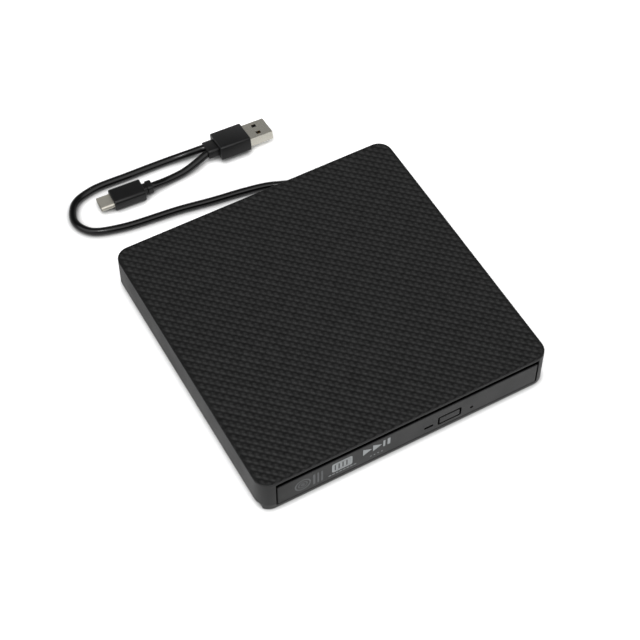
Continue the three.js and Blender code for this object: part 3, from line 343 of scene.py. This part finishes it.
def round_rect(half_x, half_y, radius, steps=6, cx=0.0, cy=0.0):
    """Outline of a rectangle with round corners, anticlockwise."""
    points = []
    for side_x, side_y, start in ((1, -1, -90), (1, 1, 0), (-1, 1, 90), (-1, -1, 180)):
        for k in range(steps + 1):
            angle = math.radians(start + 90 * k / steps)
            points.append((cx + side_x * (half_x - radius) + radius * math.cos(angle),
                           cy + side_y * (half_y - radius) + radius * math.sin(angle)))
    return points


def pad(x, y, z, corner=0.3, edge=0.1, steps=4):
    """Block between the given ranges with round corners in plan and rounded rims."""
    cx, cy = sum(x) / 2, sum(y) / 2
    half_x, half_y = (x[1] - x[0]) / 2, (y[1] - y[0]) / 2
    rings = []
    for end, sign in ((z[0], 1), (z[1], -1)):
        arc = [math.radians(90 * k / 3) for k in range(4)]
        for a in arc if sign > 0 else arc[::-1]:
            inset = edge * (1 - math.sin(a))
            height = end + sign * edge * (1 - math.cos(a))
            outline = round_rect(half_x - inset, half_y - inset, max(corner - inset, 0.01), steps, cx, cy)
            rings.append([(px, py, height) for px, py in outline])
    return loft(rings)


def turned(profile, cx=0.0, cy=0.0, sides=64, closed=False):
    """Profile of (radius, height) turned round a vertical axis."""
    return loft([[(px, py, z) for px, py in circle(radius, sides, cx, cy)] for radius, z in profile], closed)


def tube(path, radius, sides=20):
    """Round cable along a path, without twist."""
    points = [Vector(p) for p in path]
    normal = Vector((0, 0, 1))
    rings = []
    for i, point in enumerate(points):
        along = (points[min(i + 1, len(points) - 1)] - points[max(i - 1, 0)]).normalized()
        normal = (normal - along * normal.dot(along)).normalized()
        across = along.cross(normal)
        rings.append([tuple(point + (across * math.cos(a) + normal * math.sin(a)) * radius)
                      for a in (2 * math.pi * k / sides for k in range(sides))])
    return loft(rings)


def curve(controls, step=1.0):
    """Centripetal Catmull-Rom curve through the control points, sampled about every step mm."""
    points = [Vector(p) for p in controls]
    points = [points[0] * 2 - points[1]] + points + [points[-1] * 2 - points[-2]]
    path = []
    for a, b, c, d in zip(points, points[1:], points[2:], points[3:]):
        t = [0.0]
        for p, q in ((a, b), (b, c), (c, d)):
            t.append(t[-1] + math.sqrt((q - p).length))
        count = max(2, round((c - b).length / step))
        for k in range(count):
            s = t[1] + (t[2] - t[1]) * k / count
            a1 = a.lerp(b, (s - t[0]) / (t[1] - t[0]))
            a2 = b.lerp(c, (s - t[1]) / (t[2] - t[1]))
            a3 = c.lerp(d, (s - t[2]) / (t[3] - t[2]))
            b1 = a1.lerp(a2, (s - t[0]) / (t[2] - t[0]))
            b2 = a2.lerp(a3, (s - t[1]) / (t[3] - t[1]))
            path.append(b1.lerp(b2, (s - t[1]) / (t[2] - t[1])))
    return path + [points[-2]]


# ---------------------------------------------------------------- pieces

def soften(obj, width):
    """Edges rounded over width mm, with flat faces left flat."""
    bevel = obj.modifiers.new("edges", "BEVEL")
    bevel.width = width * MM
    bevel.segments = 2
    bevel.limit_method = "ANGLE"
    bevel.angle_limit = math.radians(34)
    obj.modifiers.new("normals", "WEIGHTED_NORMAL").weight = 70


def piece(name, shape, finish, body="enclosure", stands_for=(), sharp=40):
    """A new object from a shape; it moves with body, and replaces the CAD nodes that it stands for."""
    mesh = bpy.data.meshes.new(name)
    mesh.from_pydata(place(shape[0]).tolist(), [], shape[1])
    welder = bmesh.new()
    welder.from_mesh(mesh)
    bmesh.ops.recalc_face_normals(welder, faces=welder.faces)
    welder.to_mesh(mesh)
    welder.free()
    mesh.materials.append(finish)
    mesh.polygons.foreach_set("use_smooth", [True] * len(mesh.polygons))
    mesh.set_sharp_from_angle(angle=math.radians(sharp))
    obj = bpy.data.objects.new(name, mesh)
    SCENE.collection.objects.link(obj)
    if body:
        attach(obj, body)
    if stands_for:
        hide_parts(*stands_for)
    return obj


def dress(finish, width, *names):
    """A finish and rounded edges for CAD nodes that stay in view."""
    for name in names:
        node = NODES[name]
        node.data.materials.clear()
        node.data.materials.append(finish)
        node.data.polygons.foreach_set("use_smooth", [True] * len(node.data.polygons))
        node.data.polygons.foreach_set("material_index", [0] * len(node.data.polygons))
        if "custom_normal" in node.data.attributes:
            node.data.attributes.remove(node.data.attributes["custom_normal"])
        node.modifiers.new("weld", "WELD").merge_threshold = 0.002 * MM
        flatten = node.modifiers.new("flatten", "DECIMATE")
        flatten.decimate_type = "DISSOLVE"
        flatten.angle_limit = math.radians(0.4)
        soften(node, width)


# ---------------------------------------------------------------- top cover with its woven top

def cover_columns():
    """Places round the outline, anticlockwise: a side and the position on it, or an arc's corner and angle."""
    straight = np.linspace(-1, 1, 73)
    arc = [math.radians(90 * k / 12) for k in range(1, 12)]
    half_x, half_y = HALF_X - CORNER, HALF_Y - CORNER
    notch = [CABLE_X + NOTCH * math.cos(math.radians(15 * k)) for k in range(13)]
    notch += [CABLE_X - NOTCH - 0.01, CABLE_X + NOTCH + 0.01]
    jambs = [OPENING_X[0] - 0.01, OPENING_X[0], OPENING_X[1], OPENING_X[1] + 0.01]
    columns = [("front", x) for x in sorted([*(straight * half_x), *jambs])]
    columns += [("arc", 1, -1, a - math.pi / 2) for a in arc[2:]]
    columns += [("right", s * half_y) for s in straight]
    columns += [("arc", 1, 1, a) for a in arc]
    rear = [x for x in straight * half_x if abs(x - CABLE_X) > NOTCH + 0.3] + notch
    columns += [("rear", x) for x in sorted(rear, reverse=True)]
    columns += [("arc", -1, 1, a + math.pi / 2) for a in arc]
    columns += [("left", -s * half_y) for s in straight]
    columns += [("arc", -1, -1, a + math.pi) for a in arc]
    return columns


def cover_ring(columns, inset):
    """The outline, inset from the outside, as (x, y) for each column."""
    radius = CORNER - inset
    half_x, half_y = HALF_X - CORNER, HALF_Y - CORNER
    ring = []
    for kind, *values in columns:
        if kind == "front":
            past = max(abs(values[0]) - half_x, 0)
            ring.append((values[0], -half_y - math.sqrt(radius ** 2 - past ** 2)))
        elif kind == "rear":
            ring.append((values[0], REAR - inset))
        elif kind == "right":
            ring.append((HALF_X - inset, values[0]))
        elif kind == "left":
            ring.append((inset - HALF_X, values[0]))
        else:
            side_x, side_y, angle = values
            ring.append((side_x * half_x + radius * math.cos(angle),
                         side_y * half_y + radius * math.sin(angle)))
    return ring


def column_bottom(x, y):
    """Height of the cover's lower edge: the seam, the front opening or the cable's exit."""
    if y < 2 * CORNER - HALF_Y and OPENING_X[0] - 0.001 <= x <= OPENING_X[1] + 0.001:
        return UNDERSIDE
    off = abs(x - CABLE_X)
    if y > HALF_Y - 2 * WALL and off <= NOTCH + 0.001:
        return CABLE_Z + math.sqrt(max(NOTCH ** 2 - off ** 2, 0))
    return SEAM


def weave_height(x, y):
    """A long strand and a shorter, lower one to every second cell, both lying along the falling diagonal."""
    def strand(across, along, width, length):
        p = (x + y - across + 1) % 2 - 1
        q = (x - y - along + 1) % 2 - 1
        return np.exp(-(p / width) ** 2 - (q / length) ** 2)

    return strand(0, 0, 0.29, 1.05) + 0.85 * strand(0.75, -0.64, 0.27, 0.62)


def woven_field():
    """Grid of the woven relief: points, quads, the quads' outer edges and a test for places they cover."""
    half = (HALF_X - FILLET, HALF_Y - FILLET)
    lines = [np.append(np.add.outer(np.arange(n), WEAVE_STOPS).ravel(), n) for n in WEAVE_CELLS]
    xs, ys = (h * (2 * line / n - 1) for h, line, n in zip(half, lines, WEAVE_CELLS))
    gx, gy = np.meshgrid(xs, ys, indexing="ij")
    corner = CORNER - FILLET
    over_x, over_y = np.abs(gx) - (half[0] - corner), np.abs(gy) - (half[1] - corner)
    depth = np.where((over_x > 0) & (over_y > 0), corner - np.hypot(over_x, over_y),
                     np.minimum(half[0] - np.abs(gx), half[1] - np.abs(gy)))
    inside = depth > MARGIN
    pattern = weave_height((gx + half[0]) / (2 * half[0]) * WEAVE_CELLS[0] + 1e-9,
                           (gy + half[1]) / (2 * half[1]) * WEAVE_CELLS[1] + 1e-9)
    gz = TOP + WEAVE_RELIEF * pattern * np.clip((depth - MARGIN) / MARGIN_RAMP, 0, 1)
    cells = inside[:-1, :-1] & inside[1:, :-1] & inside[:-1, 1:] & inside[1:, 1:]
    used = np.zeros_like(inside)
    for dx in (0, 1):
        for dy in (0, 1):
            used[dx:dx + cells.shape[0], dy:dy + cells.shape[1]] |= cells
    index = np.full(inside.shape, -1)
    index[used] = np.arange(used.sum())
    points = np.stack([gx[used], gy[used], gz[used]], 1)
    i, j = np.nonzero(cells)
    quads = np.stack([index[i, j], index[i + 1, j], index[i + 1, j + 1], index[i, j + 1]], 1)
    count = {}
    for quad in quads.tolist():
        for a, b in zip(quad, quad[1:] + quad[:1]):
            key = (min(a, b), max(a, b))
            count[key] = count.get(key, 0) + 1
    edges = [key for key, uses in count.items() if uses == 1]

    def covered(x, y):
        a, b = np.searchsorted(xs, x) - 1, np.searchsorted(ys, y) - 1
        return bool(cells[np.clip(a, 0, cells.shape[0] - 1), np.clip(b, 0, cells.shape[1] - 1)])

    return points, quads, edges, covered


def cover_shape():
    """Walls, rounded rim and underside as one loft, closed by the woven field and a rim of triangles."""
    columns = cover_columns()
    outer = cover_ring(columns, 0)
    inner = cover_ring(columns, WALL)
    bottoms = [column_bottom(*p) for p in outer]
    rings = [[(x, y, UNDERSIDE) for x, y in inner]]
    rings.append([(x, y, z) for (x, y), z in zip(inner, bottoms)])
    rings.append([(x, y, z) for (x, y), z in zip(outer, bottoms)])
    for k in range(6):
        angle = math.radians(90 * k / 5)
        rings.append([(x, y, TOP - FILLET * (1 - math.sin(angle)))
                      for x, y in cover_ring(columns, FILLET * (1 - math.cos(angle)))])
    vertices, faces = loft(rings)
    faces.pop()  # the last ring's flat cap gives way to the woven field
    n = len(columns)
    top_ring = len(vertices) - n
    points, quads, edges, covered = woven_field()
    base = len(vertices)
    faces += (quads + base).tolist()
    edge_points = sorted({i for edge in edges for i in edge})
    where = {i: n + k for k, i in enumerate(edge_points)}
    flat = [Vector(p[:2]) for p in rings[-1]] + [Vector(points[i][:2]) for i in edge_points]
    limits = [(i, (i + 1) % n) for i in range(n)] + [(where[a], where[b]) for a, b in edges]
    corners, _, triangles, sources, _, _ = delaunay_2d_cdt(flat, limits, [], 0, 1e-7)
    origin = [s[0] for s in sources]
    for triangle in triangles:
        middle = sum((corners[i] for i in triangle), Vector((0, 0))) / 3
        if covered(*middle) or outside(middle):
            continue
        ids = [origin[i] for i in triangle]
        faces.append([top_ring + i if i < n else base + edge_points[i - n] for i in ids])
    return vertices + points.tolist(), faces


def outside(point):
    """Whether a point lies outside the top's flat part in plan."""
    corner = CORNER - FILLET
    over_x = abs(point.x) - (HALF_X - CORNER)
    over_y = abs(point.y) - (HALF_Y - CORNER)
    if over_x > 0 and over_y > 0:
        return math.hypot(over_x, over_y) > corner + 1e-4
    return max(over_x, over_y) > corner + 1e-4


cover = piece("cover_shell", cover_shape(), SHELL, stands_for=["top_cover"], sharp=50)
cover.data.materials.append(WOVEN)
centres = np.array([p.center.z for p in cover.data.polygons])
cover.data.polygons.foreach_set("material_index", (centres > (TOP + 0.004) * MM).astype(np.int32))

# ---------------------------------------------------------------- CAD nodes that stay in view

dress(BASE, 0.15, "bottom_cover")
dress(RUBBER, 0.1, "cable_grommet", *(f"foot_{y}_{x}" for y in ("front", "rear") for x in ("left", "right")))
dress(DARK_STEEL, 0.06, "case_screw_1", "case_screw_2", "case_screw_3", "case_screw_4")
dress(BOARD, 0.05, "bridge_board", "controller_board", "eject_switch_board")
dress(CHIP, 0.1, "bridge_chip", "sata_socket", "drive_connector")
dress(SHEET, 0.08, "drive_base_pan", "drive_top_shield", "tray_under_cover")
dress(SHEET, 0.06, "left_rail_guide", "right_rail_guide")
dress(STEEL, 0.1, "left_slide_rail", "right_slide_rail", "guide_rod_inner", "guide_rod_outer", "sled_motor")
dress(BEZEL, 0.12, "front_bezel")
dress(BUTTON, 0.12, "eject_button")
dress(LIGHT_PIPE, 0.1, "status_light_pipe")
dress(TRAY, 0.2, "disc_tray")
dress(DARK_STEEL, 0.1, "traverse_deck", "spindle_base")
dress(STEEL, 0.12, "spindle_rotor")
dress(CHIP, 0.15, "turntable", "lens_holder")
dress(RUBBER, 0.1, "grip_ring")
dress(WHITE, 0.1, "chuck_claw_1", "chuck_claw_2", "chuck_claw_3", "ejector_pusher", "latch_lever")
dress(STEEL, 0.05, "eject_spring", "solenoid_plunger")
dress(COPPER, 0.1, "latch_solenoid", "stator_core")
dress(CAST, 0.25, "pickup_sled")
dress(LENS, 0.05, "objective_lens")
dress(NICKEL, 0.07, "usb_a_shell")
dress(SATIN, 0.07, "usb_c_shell")
dress(CHIP, 0.1, "usb_a_tongue")
dress(CHIP, 0.08, "usb_c_insulator")

# ---------------------------------------------------------------- flex cable

def strip(y, z, count):
    """Flat ribbon across FLEX_X from y[0] to y[1], cut into count lengths."""
    rings = []
    for k in range(count + 1):
        at = y[0] + (y[1] - y[0]) * k / count
        rings.append([(FLEX_X[0], at, z), (FLEX_X[1], at, z), (FLEX_X[1], at, z + FLEX_THICK),
                      (FLEX_X[0], at, z + FLEX_THICK)])
    return loft(rings)


def fold_shape():
    """Half a turn of ribbon from the lower leg to the upper one."""
    middle = (FLEX_LOW + FLEX_HIGH + FLEX_THICK) / 2
    outer = middle - FLEX_LOW
    rings = []
    for k in range(13):
        angle = math.radians(90 + 180 * k / 12)
        ring = []
        for x, radius in ((FLEX_X[0], outer), (FLEX_X[1], outer), (FLEX_X[1], outer - FLEX_THICK),
                          (FLEX_X[0], outer - FLEX_THICK)):
            ring.append((x, FLEX_FOLD_Y + radius * math.cos(angle), middle + radius * math.sin(angle)))
        rings.append(ring)
    return loft(rings)


lower_strip = strip((FLEX_FOLD_Y, FLEX_FIXED_END), FLEX_LOW, 40)
fixed_leg = piece("flex_ribbon_fixed", lower_strip, FLEX, None, ["flex_fixed_leg"])
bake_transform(fixed_leg)
piece("flex_ribbon_fold", fold_shape(), FLEX, "left_rail", ["flex_fold"])
upper_strip = strip((FLEX_FOLD_Y, FLEX_MOVING_END), FLEX_HIGH, 40)
moving_leg = piece("flex_ribbon_moving", upper_strip, FLEX, "tray", ["flex_moving_leg"])
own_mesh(moving_leg)

# ---------------------------------------------------------------- lead screw

def thread():
    """Screw with plain ends and one groove that winds round it."""
    y, z, radius = LEAD
    sides = 24
    count = round((LEAD_X[1] - LEAD_X[0]) / LEAD_PITCH * 16)
    rings = []
    for k in range(count + 1):
        x = LEAD_X[0] + (LEAD_X[1] - LEAD_X[0]) * k / count
        plain = x < LEAD_X[0] + 1.2 or x > LEAD_X[1] - 3
        ring = []
        for i in range(sides):
            angle = 2 * math.pi * i / sides
            groove = 0 if plain else LEAD_GROOVE * max(0, math.cos(angle - 2 * math.pi * x / LEAD_PITCH)) ** 2
            ring.append((x, y + (radius - groove) * math.cos(angle), z + (radius - groove) * math.sin(angle)))
        rings.append(ring)
    return traverse(loft(rings))


piece("lead_screw_thread", thread(), STEEL, "lead_screw", ["lead_screw"])

# ---------------------------------------------------------------- small parts on the tray, spindle and pickup

def screw_head(x, y, z, radius, rise):
    """Low round head with a socket in its top."""
    profile = [(1, -0.1), (1, 0.6 * rise), (0.85, rise), (0.5, rise), (0.42, 0.35 * rise)]
    return turned([(radius * r, z + h) for r, h in profile], x, y, 24)


def disc_pad(angle):
    """Soft pad on the recess floor, near the edge of a disc."""
    shape = pad((55.6, 58), (-3.6, 3.6), (RECESS_FLOOR - 0.05, RECESS_FLOOR + 0.25), 1.1)
    return moved(shape, Matrix.Translation((0, SPINDLE_Y, 0)) @ turn(angle))


magnets = [pad((19.5, 26.5), y, (8.55, SLED_TOP + 0.3), 0.2) for y in ((-5.7, -4.45), (4.45, 5.7))]
piece("pickup_magnets", traverse(merge(*magnets)), DARK_STEEL, "pickup")
heads = [screw_head(15.2, side * 9, SLED_TOP, 0.95, 0.3) for side in (-1, 1)]
piece("pickup_screws", traverse(merge(*heads)), STEEL, "pickup")
pickup_flex = pad((24.2, 30.5), (8.2, 10.8), (SLED_TOP - 1.05, SLED_TOP - 0.88), 0.2, 0.04)
piece("pickup_flex", traverse(pickup_flex), FLEX, "pickup")
hub_rim = [(1.2, -0.1), (5.4, -0.1), (5.4, 0.1), (5.25, 0.16), (1.4, 0.16), (1.2, 0.08)]
hub_plate = turned([(radius, HUB_TOP + h) for radius, h in hub_rim], 0, SPINDLE_Y, closed=True)
piece("hub_plate", hub_plate, STEEL, "spindle")
heads = [screw_head(x, y, TRAY_TOP, 1.5, 0.25) for x in (-58, 58) for y in (-64, 44)]
piece("tray_screws", merge(*heads), DARK_STEEL, "tray")
piece("disc_pads", merge(*map(disc_pad, (-75, -15, 45, 105, 165))), RUBBER, "tray")

# ---------------------------------------------------------------- cables and plugs

main_cable = tube(curve(MAIN_PATH), CABLE_RADIUS)
piece("cable_main", main_cable, CABLE, stands_for=["usb_cable"])
pigtail = tube(curve(PIGTAIL_PATH), CABLE_RADIUS)
piece("cable_pigtail", pigtail, CABLE, stands_for=["usb_c_pigtail"])


def lengthways(sections, corner_steps=5):
    """Body along +X through sections of (x, half width, half height, corner radius)."""
    return loft([[(x, y, z) for y, z in round_rect(w, h, min(r, w - 0.01, h - 0.01), corner_steps)]
                 for x, w, h, r in sections])


def rounded_sections(x0, x1, width, height, corner, edge):
    """Sections of a block along X with rounded rims at both ends."""
    angles = [math.radians(90 * k / 3) for k in range(4)]
    start = [(x0 + edge * (1 - math.cos(a)), edge * (1 - math.sin(a))) for a in angles]
    end = [(x1 - edge * (1 - math.cos(a)), edge * (1 - math.sin(a))) for a in angles[::-1]]
    return [(x, width - inset, height - inset, max(corner - inset, 0.05)) for x, inset in start + end]


a_grip = lengthways(rounded_sections(5.5, 21.5, 7, 4, 1.3, 0.55))
a_relief = lengthways(rounded_sections(0, 6.3, 4.7, 2.6, 1.6, 0.4))
piece("usb_a_grip", moved(merge(a_grip, a_relief), PLUG_A), MOULDING,
      stands_for=["usb_a_moulding"])
contacts = [pad((22.5, 31.7), (y - 0.55, y + 0.55), (-0.24, -0.14), 0.2, 0.04)
            for y in (-3.5, -1.05, 1.05, 3.5)]
piece("usb_a_contacts", moved(merge(*contacts), PLUG_A), GOLD)

c_grip = lengthways(rounded_sections(4.6, 20.6, 5, 3.2, 1.5, 0.5))
c_neck = lengthways(rounded_sections(2.2, 5.4, 2.3, 2.0, 1.0, 0.1))
c_collar = lengthways(rounded_sections(0, 2.8, 2.9, 2.5, 1.3, 0.35))
piece("usb_c_grip", moved(merge(c_grip, c_neck, c_collar), PLUG_C), MOULDING,
      stands_for=["usb_c_moulding"])

# ---------------------------------------------------------------- generic marks printed on the bezel

INK = 0.035


def printed(outer, inner=None):
    """Flat ink on the bezel's face, from an outline in x and z and, for a ring, an equally long inner one."""
    front = FRONT - INK
    back = FRONT + 0.02
    loops = [outer, inner] if inner else [outer]
    rings = []
    for loop, depths in zip(loops, ((back, front), (front, back))):
        rings += [[(x, y, z) for x, z in loop] for y in depths]
    return loft(rings, closed=bool(inner))


def bar(x, z, radius=0.15):
    return printed(round_rect((x[1] - x[0]) / 2, (z[1] - z[0]) / 2, radius, 3, sum(x) / 2, sum(z) / 2))


def hoop(x, z, outer, inner):
    return printed(circle(outer, 32, x, z), circle(inner, 32, x, z))


def wedge(x, z, width, height):
    return printed([(x, z - height / 2), (x + width, z), (x, z + height / 2)])


def frame_line(x, z, width, radius):
    cx, cz = sum(x) / 2, sum(z) / 2
    half_x, half_z = (x[1] - x[0]) / 2, (z[1] - z[0]) / 2
    return printed(round_rect(half_x, half_z, radius, 5, cx, cz),
                   round_rect(half_x - width, half_z - width, radius - width * 0.8, 5, cx, cz))


disc_mark = [hoop(-51.8, 8.65, 3.9, 3.2), hoop(-51.8, 8.65, 2.3, 1.8), hoop(-51.8, 8.65, 0.9, 0.35)]
disc_mark += [bar((x, x + width), (4.8, 12.5)) for x, width in ((-46.9, 1.1), (-44.8, 0.8), (-43.0, 0.9))]
piece("mark_disc", merge(*disc_mark), PRINT_DIM, "tray")

panel_mark = [frame_line((-37.7, -27.8), (6.7, 13.2), 1.25, 1.1)]
panel_mark += [bar((x, x + 1.3), (7.6, 12.3)) for x in (-35.9, -34.0, -32.1, -30.2)]
panel_mark += [bar((x, x + 1.3), (5.1, 5.55)) for x in np.arange(-39.4, -26.9, 1.75)]
piece("mark_panel", merge(*panel_mark), PRINT, "tray")

arrow_mark = [wedge(-22.6, 10.95, 4.4, 4.5), wedge(-17.7, 10.95, 4.4, 4.5), bar((-12.7, -11.7), (8.7, 13.2)),
              bar((-10.6, -9.2), (8.7, 13.2))]
arrow_mark += [bar((x, x + 0.7), (5.3, 5.75)) for x in (-19.0, -17.2, -15.4, -13.6)]
piece("mark_arrows", merge(*arrow_mark), PRINT, "tray")

# ---------------------------------------------------------------- floor, light and camera

def backdrop(albedo, gain, reach):
    """White floor that the camera sees overexposed, but for the contact shadow within reach mm."""
    made = surface("floor_white", (albedo,) * 3, 0.9, grain=2, bump=0.0, mottle=0.004)
    nodes, links = made.node_tree.nodes, made.node_tree.links
    shader = nodes["Principled BSDF"]
    shader.inputs["Specular IOR Level"].default_value = 0
    contact = nodes.new("ShaderNodeAmbientOcclusion")
    contact.inputs["Distance"].default_value = reach * MM
    deeper = nodes.new("ShaderNodeMath")
    deeper.operation = "POWER"
    deeper.inputs[1].default_value = 1.2
    links.new(contact.outputs["AO"], deeper.inputs[0])
    exposed = nodes.new("ShaderNodeMath")
    exposed.operation = "MULTIPLY"
    exposed.inputs[1].default_value = albedo * gain
    links.new(deeper.outputs["Value"], exposed.inputs[0])
    ray = nodes.new("ShaderNodeLightPath")
    seen = nodes.new("ShaderNodeMix")
    seen.data_type = "RGBA"
    seen.inputs["A"].default_value = (albedo, albedo, albedo, 1)
    links.new(ray.outputs["Is Camera Ray"], seen.inputs["Factor"])
    links.new(exposed.outputs["Value"], seen.inputs["B"])
    links.new(seen.outputs["Result"], shader.inputs["Base Color"])
    return made


FLOOR_REACH = 15  # metres

floor_mesh = bpy.data.meshes.new("floor")
floor_corners = [(x * FLOOR_REACH, y * FLOOR_REACH, 0) for x, y in ((-1, -1), (1, -1), (1, 1), (-1, 1))]
floor_mesh.from_pydata(floor_corners, [], [(0, 1, 2, 3)])
floor = bpy.data.objects.new("floor", floor_mesh)
SCENE.collection.objects.link(floor)
floor_mesh.materials.append(backdrop(0.88, 1.5, 3.5))


def sun(name, azimuth, elevation, strength, spread):
    light = bpy.data.lights.new(name, "SUN")
    light.energy = strength
    light.angle = math.radians(spread)
    lamp = bpy.data.objects.new(name, light)
    a, e = math.radians(azimuth), math.radians(elevation)
    towards = Vector((math.sin(a) * math.cos(e), -math.cos(a) * math.cos(e), math.sin(e)))
    lamp.rotation_mode = "QUATERNION"
    lamp.rotation_quaternion = towards.to_track_quat("Z", "Y")
    SCENE.collection.objects.link(lamp)


sun("key_light", -75, 50, 1.35, 60)
sun("fill_light", 15, 42, 1.0, 60)
sun("top_light", 10, 80, 0.6, 50)
sun("glint_light", -25, 66, 0.5, 9)


def studio(horizon, zenith):
    """White surroundings that the camera sees as pure white and the drive sees dimmer overhead."""
    world = bpy.data.worlds.new("studio")
    world.use_nodes = True
    nodes, links = world.node_tree.nodes, world.node_tree.links
    background = nodes["Background"]
    background.inputs["Color"].default_value = (1, 1, 1, 1)
    direction = nodes.new("ShaderNodeTexCoord")
    split = nodes.new("ShaderNodeSeparateXYZ")
    links.new(direction.outputs["Generated"], split.inputs["Vector"])
    fade = nodes.new("ShaderNodeMapRange")
    for socket, value in (("From Min", 0.0), ("From Max", 0.7), ("To Min", horizon), ("To Max", zenith)):
        fade.inputs[socket].default_value = value
    links.new(split.outputs["Z"], fade.inputs["Value"])
    ray = nodes.new("ShaderNodeLightPath")
    seen = nodes.new("ShaderNodeMix")
    seen.inputs["B"].default_value = 1.0
    links.new(ray.outputs["Is Camera Ray"], seen.inputs["Factor"])
    links.new(fade.outputs["Result"], seen.inputs["A"])
    links.new(seen.outputs["Result"], background.inputs["Strength"])
    return world


SCENE.world = studio(horizon=0.85, zenith=0.12)
SCENE.view_settings.view_transform = "Standard"

camera_data = bpy.data.cameras.new("camera")
camera_data.lens = 98.06
camera_data.clip_end = 20
camera = bpy.data.objects.new("camera", camera_data)
SCENE.collection.objects.link(camera)
camera.location = place((-229.3, -406.5, 640.8))
target = Vector(place((-0.94, 4.73, 0.8)))
camera.rotation_mode = "QUATERNION"
camera.rotation_quaternion = (camera.location - target).to_track_quat("Z", "Y")
SCENE.camera = camera
